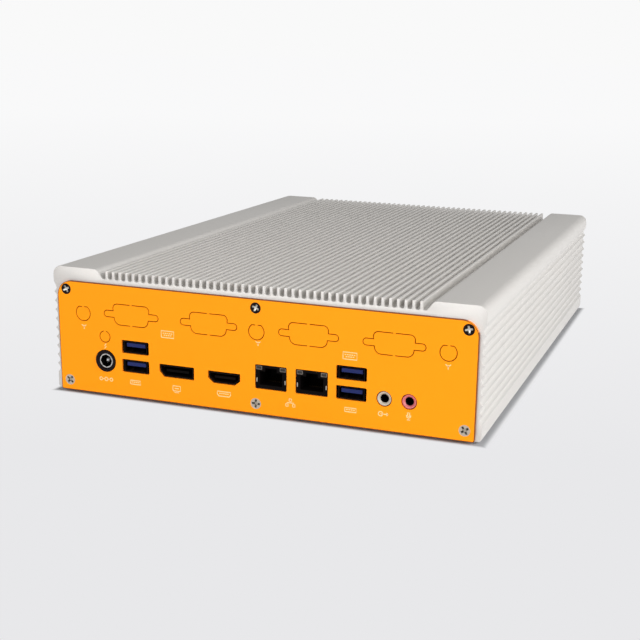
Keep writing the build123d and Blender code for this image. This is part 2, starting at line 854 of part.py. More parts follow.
def lan_shell(x):
    """The steel shield: a tube with a foot on the board and a spring finger on each side."""
    finger_height, finger_proud, finger_length = lan_finger
    with BuildPart() as shell:
        with BuildSketch(nose_plane):
            with Locations((x, (lan_shell_low + lan_shell_top) / 2)):
                Rectangle(lan_shell_width, lan_shell_top - lan_shell_low)
        extrude(amount=-(nose_length + lan_depth))
        with BuildSketch(can_plane):
            with Locations((x, (lan_shell_low + lan_wall) / 2)):
                Rectangle(lan_shell_width, lan_shell_low + lan_wall)
        extrude(amount=-lan_depth)
        with BuildSketch(nose_plane):
            with Locations((x, (lan_shell_low + lan_shell_top) / 2)):
                Rectangle(lan_shell_width + 2 * finger_proud, finger_height)
        extrude(amount=-finger_length)
        with BuildSketch(nose_plane):
            with Locations((x, (lan_inner_low + lan_inner_top) / 2)):
                Rectangle(lan_inner_width, lan_inner_top - lan_inner_low)
        extrude(amount=-(nose_length + lan_depth), mode=Mode.SUBTRACT)
    return shell


def lan_insert(x):
    """The moulded insert with the plug's cavity, the latch's slot and two seats for the lights."""
    with BuildPart() as insert:
        with BuildSketch(nose_plane):
            with Locations((x, (lan_inner_low + lan_inner_top) / 2)):
                Rectangle(lan_inner_width, lan_inner_top - lan_inner_low)
        extrude(amount=-(nose_length + lan_depth))
        with BuildSketch(nose_plane):
            with Locations((x, (lan_cavity_low + lan_cavity_top) / 2)):
                Rectangle(*lan_cavity)
            with Locations((x, lan_cavity_top + lan_latch[1] / 2)):
                Rectangle(*lan_latch)
        extrude(amount=-lan_cavity_depth, mode=Mode.SUBTRACT)
        with BuildSketch(nose_plane):
            with Locations(*[(x + dx, z) for dx, z in lan_light_spots]):
                Rectangle(*lan_light)
        extrude(amount=-lan_light_depth, mode=Mode.SUBTRACT)
    return insert


def lan_lights(x):
    """The two light guides in the upper corners."""
    with BuildPart() as lights:
        with BuildSketch(nose_plane):
            with Locations(*[(x + dx, z) for dx, z in lan_light_spots]):
                Rectangle(*lan_light)
        extrude(amount=-lan_light_depth)
    return lights


def lan_contacts(x):
    """Eight spring wires that rise from the cavity's floor towards its back."""
    front_y = nose_front + lan_cavity_depth - lan_contact_length
    back_y = nose_front + lan_cavity_depth
    floor_z = base_z + board_top + lan_cavity_low
    with BuildPart() as contacts:
        for order in range(lan_contact_count):
            wire_x = x + (order - (lan_contact_count - 1) / 2) * lan_contact_pitch
            wire_plane = Plane(origin=(wire_x, 0, 0), x_dir=(0, 1, 0), z_dir=(1, 0, 0))
            with BuildSketch(wire_plane):
                with BuildLine():
                    Polyline(
                        (front_y, floor_z), (back_y, floor_z + lan_contact_rise),
                        (back_y, floor_z + lan_contact_rise + lan_contact_thickness),
                        (front_y, floor_z + lan_contact_thickness), close=True,
                    )
                make_face()
            extrude(amount=lan_contact_thickness / 2, both=True)
    return contacts


for side, x in lan_centres_x.items():
    save(lan_shell(x), f"lan_shell_{side}")
    save(lan_insert(x), f"lan_insert_{side}")
    save(lan_lights(x), f"lan_lights_{side}")
    save(lan_contacts(x), f"lan_contacts_{side}")

# Audio jacks

for side, x in audio_centres_x.items():
    with BuildPart() as audio_jack:
        with BuildSketch(nose_plane):
            with Locations((x, audio_axis_height)):
                Circle(audio_nose_radius)
        extrude(amount=-(board_front - nose_front))
        with BuildSketch(can_plane.offset(-(board_front - can_start))):
            with Locations((x, audio_body_height / 2)):
                Rectangle(audio_body_width, audio_body_height)
        extrude(amount=-audio_body_depth)
        with Locations(nose_plane):
            with Locations((x, audio_axis_height)):
                CounterSinkHole(
                    audio_bore_radius, audio_mouth_radius,
                    depth=board_front - nose_front + audio_body_depth - audio_back_wall,
                    counter_sink_angle=head_angle,
                )
    save(audio_jack, f"audio_jack_{side}")

# Power socket

jack_spot = (jack_centre_x, jack_axis_height)
jack_reach = board_front - nose_front + socket_recess + jack_barrel_proud
jack_bore_depth = jack_mouth_depth + jack_ring_length
jack_pin_root = jack_bore_depth + jack_body[2] / 4
jack_bore_radius = jack_ring_radius + jack_seat_clearance
with BuildPart() as power_socket:
    width, height, depth = jack_body
    with BuildSketch(jack_plane):
        with Locations(jack_spot):
            Circle(jack_barrel_radius)
    extrude(amount=-jack_reach)
    with BuildSketch(jack_plane.offset(-jack_reach)):
        with Locations((jack_centre_x, height / 2)):
            Rectangle(width, height)
    extrude(amount=-depth)
    with Locations(jack_plane):
        with Locations(jack_spot):
            CounterSinkHole(
                jack_bore_radius, jack_bore_radius + jack_mouth_depth, depth=jack_bore_depth,
                counter_sink_angle=head_angle,
            )
            Hole(jack_pin_radius + jack_seat_clearance, depth=jack_pin_root)
save(power_socket, "power_socket")

with BuildPart() as power_socket_ring:
    with BuildSketch(jack_plane.offset(-jack_bore_depth)):
        with Locations(jack_spot):
            Circle(jack_ring_radius)
            RegularPolygon(jack_throat_flats / 2, 8, major_radius=False, mode=Mode.SUBTRACT)
    extrude(amount=jack_ring_length)
save(power_socket_ring, "power_socket_ring")

with BuildPart() as power_socket_pin:
    with BuildSketch(jack_plane.offset(-jack_pin_root)):
        with Locations(jack_spot):
            Circle(jack_pin_radius)
    extrude(amount=jack_pin_root - jack_pin_setback)
    chamfer(power_socket_pin.edges().group_by(Axis.Y)[0], jack_pin_radius / 2)
save(power_socket_pin, "power_socket_pin")

# Power switch: flanged barrel, nut, light ring and the button that slides in it

flange_face = rear_face.offset(switch_flange_thickness)
button_chamber = button_radius + button_rim + button_clearance
chamber_depth = button_rim_thickness + button_travel + button_clearance

with BuildPart() as power_switch:
    with BuildSketch(rear_face):
        with Locations(switch_spot):
            Circle(switch_flange_radius)
    extrude(amount=switch_flange_thickness)
    chamfer(power_switch.edges().group_by(Axis.Y)[-1], switch_flange_thickness / 4)
    with BuildSketch(rear_face):
        with Locations(switch_spot):
            Circle(switch_barrel_radius)
    extrude(amount=-switch_barrel_length)
    with BuildSketch(rear_face.offset(-switch_barrel_length)):
        with Locations(switch_spot):
            Circle(switch_rear_radius)
    extrude(amount=-switch_rear_length)
    with BuildSketch(flange_face):
        with Locations(switch_spot):
            Circle(button_radius + button_clearance)
    extrude(amount=-switch_lip, mode=Mode.SUBTRACT)
    with BuildSketch(flange_face.offset(-switch_lip)):
        with Locations(switch_spot):
            Circle(button_chamber)
    extrude(amount=-chamber_depth, mode=Mode.SUBTRACT)
    with BuildSketch(flange_face):
        with Locations(switch_spot):
            Circle(light_ring_outer)
            Circle(light_ring_inner, mode=Mode.SUBTRACT)
    extrude(amount=-light_ring_depth, mode=Mode.SUBTRACT)
save(power_switch, "power_switch")

with BuildPart() as power_switch_nut:
    with BuildSketch(rear_plane):
        with Locations(switch_spot):
            RegularPolygon(switch_nut_across_flats / 2, 6, major_radius=False)
            Circle(switch_hole_radius, mode=Mode.SUBTRACT)
    extrude(amount=-switch_nut_thickness)
save(power_switch_nut, "power_switch_nut")

with BuildPart() as power_light_ring:
    with BuildSketch(flange_face):
        with Locations(switch_spot):
            Circle(light_ring_outer)
            Circle(light_ring_inner, mode=Mode.SUBTRACT)
    extrude(amount=-light_ring_depth)
save(power_light_ring, "power_light_ring")

with BuildPart() as power_button:
    with BuildSketch(flange_face.offset(button_proud)):
        with Locations(switch_spot):
            Circle(button_radius)
    extrude(amount=-(button_proud + switch_lip + button_clearance))
    chamfer(power_button.edges().group_by(Axis.Y)[-1], button_proud / 2)
    with BuildSketch(flange_face.offset(-switch_lip - button_clearance / 2)):
        with Locations(switch_spot):
            Circle(button_radius + button_rim)
    extrude(amount=-button_rim_thickness)
save(power_button, "power_button")

# Processor, thermal pad and heat block

processor_top = board_top + processor_substrate[2] + processor_lid[2]
with BuildPart() as processor:
    with BuildSketch(board_plane):
        with Locations((processor_x, processor_y)):
            Rectangle(*processor_substrate[:2])
    extrude(amount=processor_substrate[2])
    with BuildSketch(board_plane.offset(processor_substrate[2])):
        with Locations((processor_x, processor_y)):
            Rectangle(*processor_lid[:2])
    extrude(amount=processor_lid[2])
save(processor, "processor")

with BuildPart() as thermal_pad:
    with BuildSketch(Plane.XY.offset(base_z + processor_top)):
        with Locations((processor_x, processor_y)):
            Rectangle(*processor_lid[:2])
    extrude(amount=pad_thickness)
save(thermal_pad, "thermal_pad")

block_low = processor_top + pad_thickness
with BuildPart() as heat_block:
    with BuildSketch(Plane.XY.offset(base_z + block_low)):
        with Locations((processor_x, processor_y)):
            Rectangle(block_foot, block_foot)
    extrude(amount=ceiling - block_low)
    with BuildSketch(Plane.XY.offset(base_z + ceiling - block_top_thickness)):
        with Locations((processor_x, processor_y)):
            Rectangle(block_top, block_top)
    extrude(amount=block_top_thickness)
    block_under = Plane(
        origin=(processor_x, processor_y, base_z + ceiling - block_top_thickness),
        x_dir=(1, 0, 0), z_dir=(0, 0, -1),
    )
    with Locations(block_under):
        with GridLocations(block_screw_pitch, block_screw_pitch, 2, 2):
            Hole(clear_radius, depth=block_top_thickness)
save(heat_block, "heat_block")

save(hex_screws(block_under, (block_screw_pitch, block_screw_pitch), block_screw_length), "heat_block_screws")

# Memory module and its socket

socket_y = memory_y + memory_board[1] / 2
with BuildPart() as memory_socket:
    with BuildSketch(board_plane):
        with Locations((memory_x, socket_y + memory_socket_depth / 2)):
            Rectangle(memory_board[0] + 2 * memory_arm, memory_socket_depth)
        with Locations(*[
            (memory_x + side * (memory_board[0] + memory_arm) / 2 + side * hole_clearance, memory_y)
            for side in (-1, 1)
        ]):
            Rectangle(memory_arm, memory_board[1])
    extrude(amount=memory_socket_height)
    with BuildSketch(board_plane.offset(memory_lift)):
        with Locations((memory_x, socket_y)):
            Rectangle(memory_board[0], memory_socket_depth)
    extrude(amount=memory_board[2], mode=Mode.SUBTRACT)
save(memory_socket, "memory_socket")

with BuildPart() as memory_module:
    with BuildSketch(board_plane.offset(memory_lift)):
        with Locations((memory_x, memory_y + memory_socket_depth / 4)):
            Rectangle(memory_board[0], memory_board[1] + memory_socket_depth / 2)
    extrude(amount=memory_board[2])
    with BuildSketch(board_plane.offset(memory_lift + memory_board[2])):
        with Locations((memory_x, memory_y - memory_socket_depth / 4)):
            with GridLocations(memory_chip_pitch, 0, memory_chip_count, 1):
                Rectangle(*memory_chip[:2])
    extrude(amount=memory_chip[2])
save(memory_module, "memory_module")

# Solid-state drive on a folded bracket that is spot-welded to the tray

with BuildPart() as drive_bracket:
    bracket_end = Plane(
        origin=(drive_x, drive_y + drive_size[1] / 2, base_z), x_dir=(1, 0, 0), z_dir=(0, -1, 0)
    )
    with BuildSketch(bracket_end) as bracket_section:
        with Locations((0, deck_top - bracket_height / 2)):
            Rectangle(2 * deck_half, bracket_height)
        with Locations((0, deck_top - bracket_height / 2 - bracket_thickness)):
            Rectangle(2 * (deck_half - bracket_thickness), bracket_height, mode=Mode.SUBTRACT)
        with Locations((0, tray_thickness + bracket_thickness / 2)):
            Rectangle(2 * (deck_half + bracket_foot_width), bracket_thickness)
            Rectangle(2 * (deck_half - bracket_thickness), bracket_thickness, mode=Mode.SUBTRACT)
        bends = bracket_section.vertices().filter_by_position(
            Axis.X, -deck_half - 0.01, deck_half + 0.01
        ).filter_by_position(Axis.Y, tray_thickness + 0.01, deck_top + 0.01)
        fillet(bends, bracket_bend_radius)
    extrude(amount=drive_size[1])
    with Locations(Plane(origin=(drive_x, drive_y, base_z + deck_top))):
        with GridLocations(*drive_screw_pitch, 2, 2):
            Hole(clear_radius, depth=bracket_thickness)
save(drive_bracket, "drive_bracket")

with BuildPart() as solid_state_drive:
    with BuildSketch(Plane(origin=(drive_x, drive_y, base_z + deck_top))):
        Rectangle(*drive_size[:2])
    extrude(amount=drive_size[2])
    fillet(solid_state_drive.edges().filter_by(Axis.Z), drive_edge_radius)
    with Locations(Plane(origin=(drive_x, drive_y, base_z + deck_top), x_dir=(1, 0, 0), z_dir=(0, 0, -1))):
        with GridLocations(*drive_screw_pitch, 2, 2):
            Hole(screw_radius, depth=drive_screw_length)
save(solid_state_drive, "solid_state_drive")


deck_under = Plane(
    origin=(drive_x, drive_y, base_z + deck_top - bracket_thickness), x_dir=(1, 0, 0), z_dir=(0, 0, -1)
)
save(hex_screws(deck_under, drive_screw_pitch, drive_screw_length), "drive_screws")

# Clock battery, chips and chokes

with BuildPart() as battery_holder:
    with BuildSketch(board_plane):
        with Locations(cell_spot):
            Circle(cell_radius + cell_holder_wall)
    extrude(amount=cell_holder_height)
    with BuildSketch(board_plane.offset(cell_holder_floor)):
        with Locations(cell_spot):
            Circle(cell_radius + hole_clearance)
    extrude(amount=cell_holder_height, mode=Mode.SUBTRACT)
save(battery_holder, "battery_holder")

with BuildPart() as coin_cell:
    with BuildSketch(board_plane.offset(cell_holder_floor)):
        with Locations(cell_spot):
            Circle(cell_radius)
    extrude(amount=cell_thickness)
save(coin_cell, "coin_cell")

with BuildPart() as board_chips:
    with BuildSketch(board_plane):
        with Locations(*chip_spots):
            Rectangle(*chip_size[:2])
    extrude(amount=chip_size[2])
save(board_chips, "board_chips")

with BuildPart() as board_chokes:
    with BuildSketch(board_plane):
        with Locations((processor_x, processor_y + choke_y_offset)):
            with GridLocations(choke_pitch, 0, choke_count, 1):
                Rectangle(*choke_size[:2])
    extrude(amount=choke_size[2])
save(board_chokes, "board_chokes")
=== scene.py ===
"""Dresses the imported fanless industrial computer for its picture.

Every length is in millimetres in the case's frame until a mesh is made: +X runs right as seen from
the socket panel, +Y from that panel to the back, +Z up from the ground under the feet.
"""
import logging
import math
from dataclasses import dataclass, field, replace
from enum import Enum
from typing import NamedTuple

import bmesh
import bpy
import numpy as np
from mathutils import Matrix, Vector


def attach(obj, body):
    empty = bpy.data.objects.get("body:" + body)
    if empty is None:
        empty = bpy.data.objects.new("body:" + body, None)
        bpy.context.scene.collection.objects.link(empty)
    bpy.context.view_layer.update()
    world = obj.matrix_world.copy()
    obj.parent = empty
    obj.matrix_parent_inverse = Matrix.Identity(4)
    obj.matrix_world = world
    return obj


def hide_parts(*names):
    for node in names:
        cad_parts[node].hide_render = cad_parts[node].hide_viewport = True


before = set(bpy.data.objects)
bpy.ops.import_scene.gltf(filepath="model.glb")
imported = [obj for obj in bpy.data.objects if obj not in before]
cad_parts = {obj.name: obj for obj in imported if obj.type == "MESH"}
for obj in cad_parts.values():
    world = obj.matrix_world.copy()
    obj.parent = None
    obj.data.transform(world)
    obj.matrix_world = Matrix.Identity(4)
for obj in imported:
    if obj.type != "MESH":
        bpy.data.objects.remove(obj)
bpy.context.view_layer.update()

MM = 0.001
log = logging.getLogger("industrial_computer")


# Colour and material nodes


Source = bpy.types.Node | bpy.types.NodeSocket
Feed = float | str | tuple | Source


def linear(hex_colour: str, alpha: float = 1.0) -> tuple[float, float, float, float]:
    """Turns an sRGB hex colour into linear light.

    A channel c becomes c / 12.92 below 0.04045 and ((c + 0.055) / 1.055) ** 2.4 above it.

    Args:
        hex_colour: six hex digits after a hash.
        alpha: the fourth channel, kept as it is.

    Returns:
        Red, green, blue and alpha.
    """
    channels = [int(hex_colour[i:i + 2], 16) / 255 for i in (1, 3, 5)]
    lit = [c / 12.92 if c <= 0.04045 else ((c + 0.055) / 1.055) ** 2.4 for c in channels]
    return (*lit, alpha)


def add_node(tree: bpy.types.NodeTree, kind: str, *values: Feed, **named: Feed) -> bpy.types.Node:
    """Adds a node with its settings and what feeds it.

    What feeds an input is a number, a hex colour, a tuple, a socket, or a node, which stands for the
    first of its outputs that is in use.

    Args:
        tree: the node tree.
        kind: the node's type name after ShaderNode.
        *values: what feeds the first inputs, in order.
        **named: the node's own settings in lower case, and what feeds its other inputs by name, with a
            capital letter and _ for a space, or by number, as I6.

    Returns:
        The node.
    """
    made = tree.nodes.new(f"ShaderNode{kind}")
    inputs = dict(enumerate(values))
    for key, value in named.items():
        if key[0].islower():
            setattr(made, key, value)
        else:
            inputs[int(key[1:]) if key[1:].isdigit() else key.replace("_", " ")] = value
    for key, value in inputs.items():
        if isinstance(value, bpy.types.Node):
            value = next(output for output in value.outputs if output.enabled)
        if isinstance(value, bpy.types.NodeSocket):
            tree.links.new(value, made.inputs[key])
        else:
            made.inputs[key].default_value = linear(value) if isinstance(value, str) else value
    return made


def emptied(owner: bpy.types.ID) -> bpy.types.NodeTree:
    """The tree of a material or a world, without the nodes it came with.

    Args:
        owner: the material or world.

    Returns:
        Its node tree.
    """
    owner.use_nodes = True
    owner.node_tree.nodes.clear()
    return owner.node_tree


def on_face(tree: bpy.types.NodeTree, limit: float = 0.6) -> Source:
    """Tells a sheet's two faces from its edges and bores: 1 where the surface looks along Y, either way.

    Args:
        tree: the material's tree.
        limit: how much of the normal is along Y on a face, from 0 to 1.

    Returns:
        1 on a face and 0 elsewhere.
    """
    parts = add_node(tree, "SeparateXYZ", add_node(tree, "TexCoord").outputs["Normal"])
    along = add_node(tree, "Math", parts.outputs["Y"], operation="ABSOLUTE")
    return add_node(tree, "Math", along, limit, operation="GREATER_THAN")


class Run(NamedTuple):
    """A value that is low where its factor is 0, high where it is 1, and in between on the way."""

    factor: Source
    low: Feed
    high: Feed


@dataclass(frozen=True)
class Look:
    """What a finish's pattern gives the shader: its colour, its relief, and other inputs by name."""

    colour: Run
    height: Source
    others: dict[str, Run | Feed] = field(default_factory=dict)


@dataclass(frozen=True)
class Finish:
    """A finish of one colour, with a fine grain. A subclass gives it another pattern."""

    name: str
    colour: str
    roughness: float
    metallic: float = 0.0
    grain_mm: float = 0.5
    grain_depth_mm: float = 0.01
    variation: float = 0.06
    specular: float = 0.5
    drift_mm: float = 18.0
    grain_detail: float = 2.0
    grain_roughness: float = 0.6
    rough_swing: float = 0.05
    bump_strength: float = 0.5

    def material(self) -> bpy.types.Material:
        """The finish's material, made once.

        Returns:
            The material, whose shader is fed by the finish's own pattern.
        """
        made = bpy.data.materials.get(self.name)
        if made:
            return made
        made = bpy.data.materials.new(self.name)
        tree = emptied(made)
        place = add_node(tree, "TexCoord").outputs["Object"]
        grain = add_node(
            tree, "TexNoise", Vector=place, Scale=1 / (self.grain_mm * MM), Detail=self.grain_detail,
            Roughness=self.grain_roughness,
        )
        look = self.pattern(tree, place, grain)
        colour = add_node(tree, "Mix", look.colour.factor, data_type="RGBA", I6=look.colour.low, I7=look.colour.high)
        normal = add_node(
            tree, "Bump", Strength=self.bump_strength, Distance=self.grain_depth_mm * MM, Height=look.height
        )
        inputs = {"Metallic": self.metallic, "Roughness": self.roughness, "Specular_IOR_Level": self.specular}
        for name, value in look.others.items():
            if isinstance(value, Run):
                value = add_node(tree, "MapRange", value.factor, To_Min=value.low, To_Max=value.high)
            inputs[name] = value
        shader = add_node(tree, "BsdfPrincipled", Base_Color=colour, Normal=normal, **inputs)
        add_node(tree, "OutputMaterial", Surface=shader)
        made.diffuse_color = linear(self.colour)
        return made

    def tone(self, share: float) -> str:
        """The finish's own colour, lighter or darker.

        Args:
            share: how much lighter, as a share of full scale, or darker where it is below 0.

        Returns:
            The colour as hex.
        """
        channels = [int(self.colour[i:i + 2], 16) for i in (1, 3, 5)]
        moved = [min(max(round(c + 255 * share), 0), 255) for c in channels]
        return "#" + "".join(f"{c:02x}" for c in moved)

    def drifting(self, factor: Source, share: float) -> Run:
        """The finish's own colour, from a share darker to a share lighter."""
        return Run(factor, self.tone(-share), self.tone(share))

    def uneven(self, factor: Source) -> Run:
        """The finish's roughness, from a swing smoother to a swing rougher."""
        return Run(factor, self.roughness - self.rough_swing, self.roughness + self.rough_swing)

    def pattern(self, tree: bpy.types.NodeTree, place: Source, grain: Source) -> Look:
        """The grain in height and roughness, and a slow drift in colour.

        Args:
            tree: the material's tree.
            place: Object coordinates in metres.
            grain: the finish's fine grain, from 0 to 1.

        Returns:
            What feeds the shader.
        """
        drift = add_node(tree, "TexNoise", Vector=place, Scale=1 / (self.drift_mm * MM), Detail=1.0)
        return Look(self.drifting(drift, self.variation / 2), grain, {"Roughness": self.uneven(grain)})


@dataclass(frozen=True)
class AnodisedAluminium(Finish):
    """Extruded, fine-blasted and clear-anodised aluminium: pale, silky and almost without a mirror image."""

    grain_roughness: float = 0.7
    rough_swing: float = 0.06
    bump_strength: float = 0.6
    die_line_mm: float = 0.9
    die_line_length_mm: float = 160.0
    die_line_share: float = 0.35

    def pattern(self, tree: bpy.types.NodeTree, place: Source, grain: Source) -> Look:
        """Blast grain, and faint die lines that run the way the metal left the die.

        The grain is coarser than the real 0.1 mm, so that it shows at all.

        Args:
            tree: the material's tree.
            place: Object coordinates in metres.
            grain: the blast grain, from 0 to 1.

        Returns:
            What feeds the shader.
        """
        sizes = (self.die_line_mm, self.die_line_length_mm, self.die_line_mm)
        scale = tuple(1 / (size * MM) for size in sizes)
        along = add_node(tree, "Mapping", Vector=place, Scale=scale)
        lines = add_node(tree, "TexNoise", Vector=along, Scale=1.0, Detail=2.0)
        height = add_node(tree, "Math", lines, self.die_line_share, grain, operation="MULTIPLY_ADD")
        return Look(self.drifting(height, self.variation), height, {"Roughness": self.uneven(lines)})


@dataclass(frozen=True)
class LacqueredSheet(Finish):
    """Powder-lacquered steel sheet: an even satin with a slight orange peel, another colour where it is cut, and
    painted shade on its outer edge.
    """

    grain_mm: float = 1.1
    drift_mm: float = 60.0
    grain_detail: float = 1.0
    grain_roughness: float = 0.5
    bump_strength: float = 0.4
    cut_colour: str = "#f58a1c"
    rim_painted_shade_colour: str = "#7a3f10"
    rim_half_mm: float = 110.3
    rim_top_mm: float = 59.2

    def pattern(self, tree: bpy.types.NodeTree, place: Source, grain: Source) -> Look:
        """Orange peel in height, slow drift in colour, and two cut colours where a face isn't flat on the sheet.

        The laser's slots keep the lacquer's hue, and the sheet's own outer edge is browner: painted shade for the
        gap line along it. That edge is where the place is further out than rim_half or higher than rim_top.

        Args:
            tree: the material's tree.
            place: Object coordinates in metres.
            grain: the orange peel, from 0 to 1.

        Returns:
            What feeds the shader.
        """
        parts = add_node(tree, "SeparateXYZ", place)
        aside = add_node(tree, "Math", parts.outputs["X"], operation="ABSOLUTE")
        far_out = add_node(tree, "Math", aside, self.rim_half_mm * MM, operation="GREATER_THAN")
        high_up = add_node(tree, "Math", parts.outputs["Z"], self.rim_top_mm * MM, operation="GREATER_THAN")
        # The outer edge's browner colour is painted shade
        on_shaded_rim = add_node(tree, "Math", far_out, high_up, operation="MAXIMUM")
        cut = add_node(tree, "Mix", on_shaded_rim, data_type="RGBA", I6=self.cut_colour, I7=self.rim_painted_shade_colour)
        drift = add_node(tree, "TexNoise", Vector=place, Scale=1 / (self.drift_mm * MM), Detail=1.0)
        _, dark, light = self.drifting(drift, self.variation)
        lacquer = add_node(tree, "Mix", drift, data_type="RGBA", I6=dark, I7=light)
        return Look(Run(on_face(tree), cut, lacquer), grain)


@dataclass(frozen=True)
class PlatedFront(Finish):
    """A plated ring whose front face alone is bright: its other faces take a dark colour without metal, as painted
    shade in the bore.
    """

    bore_painted_shade_colour: str = "#0d0c0c"

    def pattern(self, tree: bpy.types.NodeTree, place: Source, grain: Source) -> Look:
        """Bright metal where the face looks along Y, and the bore's painted shade colour without metal elsewhere.

        Args:
            tree: the material's tree.
            place: Object coordinates in metres; not used.
            grain: the finish's fine grain, from 0 to 1.

        Returns:
            What feeds the shader.
        """
        front = on_face(tree)
        return Look(Run(front, self.bore_painted_shade_colour, self.colour), grain, {"Metallic": Run(front, 0.0, self.metallic)})


@dataclass(frozen=True)
class RecessWearAndShade(Finish):
    """A plated or blacked screw whose driver recess takes another colour by the mesh's own mark: rubbed bright metal
    on a blacked head, painted shade on a plated one.
    """

    recess_wear_and_shade_colour: str = "#e8e6e2"
    recess_metallic: float = 1.0
    wear_and_shade_swing: float = 0.5
    wear_and_shade_start: float = -0.2

    def pattern(self, tree: bpy.types.NodeTree, place: Source, grain: Source) -> Look:
        """The recess colour, unevenly, where the mesh's recess attribute is 1, with a grain over both.

        Args:
            tree: the material's tree.
            place: Object coordinates in metres; not used.
            grain: the finish's fine grain, from 0 to 1.

        Returns:
            What feeds the shader.
        """
        # The recess mark is rubbed metal on a blacked screw and painted shade on a plated one
        wear_and_shade_mark = add_node(tree, "Attribute", attribute_name="recess").outputs["Fac"]
        left = add_node(
            tree, "Math", grain, self.wear_and_shade_swing, self.wear_and_shade_start, operation="MULTIPLY_ADD", use_clamp=True
        )
        share = add_node(tree, "Math", wear_and_shade_mark, left, operation="SUBTRACT", use_clamp=True)
        return Look(
            Run(share, self.colour, self.recess_wear_and_shade_colour), grain,
            {"Metallic": Run(share, self.metallic, self.recess_metallic)},
        )


@dataclass(frozen=True)
class LitPlastic(Finish):
    """A frosted light guide that glows faintly where its lamp is behind it."""

    glow: float = 0.0

    def pattern(self, tree: bpy.types.NodeTree, place: Source, grain: Source) -> Look:
        """The plain grain, and a little light of the guide's own colour.

        Args:
            tree: the material's tree.
            place: Object coordinates in metres.
            grain: the finish's fine grain, from 0 to 1.

        Returns:
            What feeds the shader.
        """
        plain = super().pattern(tree, place, grain)
        return replace(plain, others={**plain.others, "Emission_Color": self.colour, "Emission_Strength": self.glow})


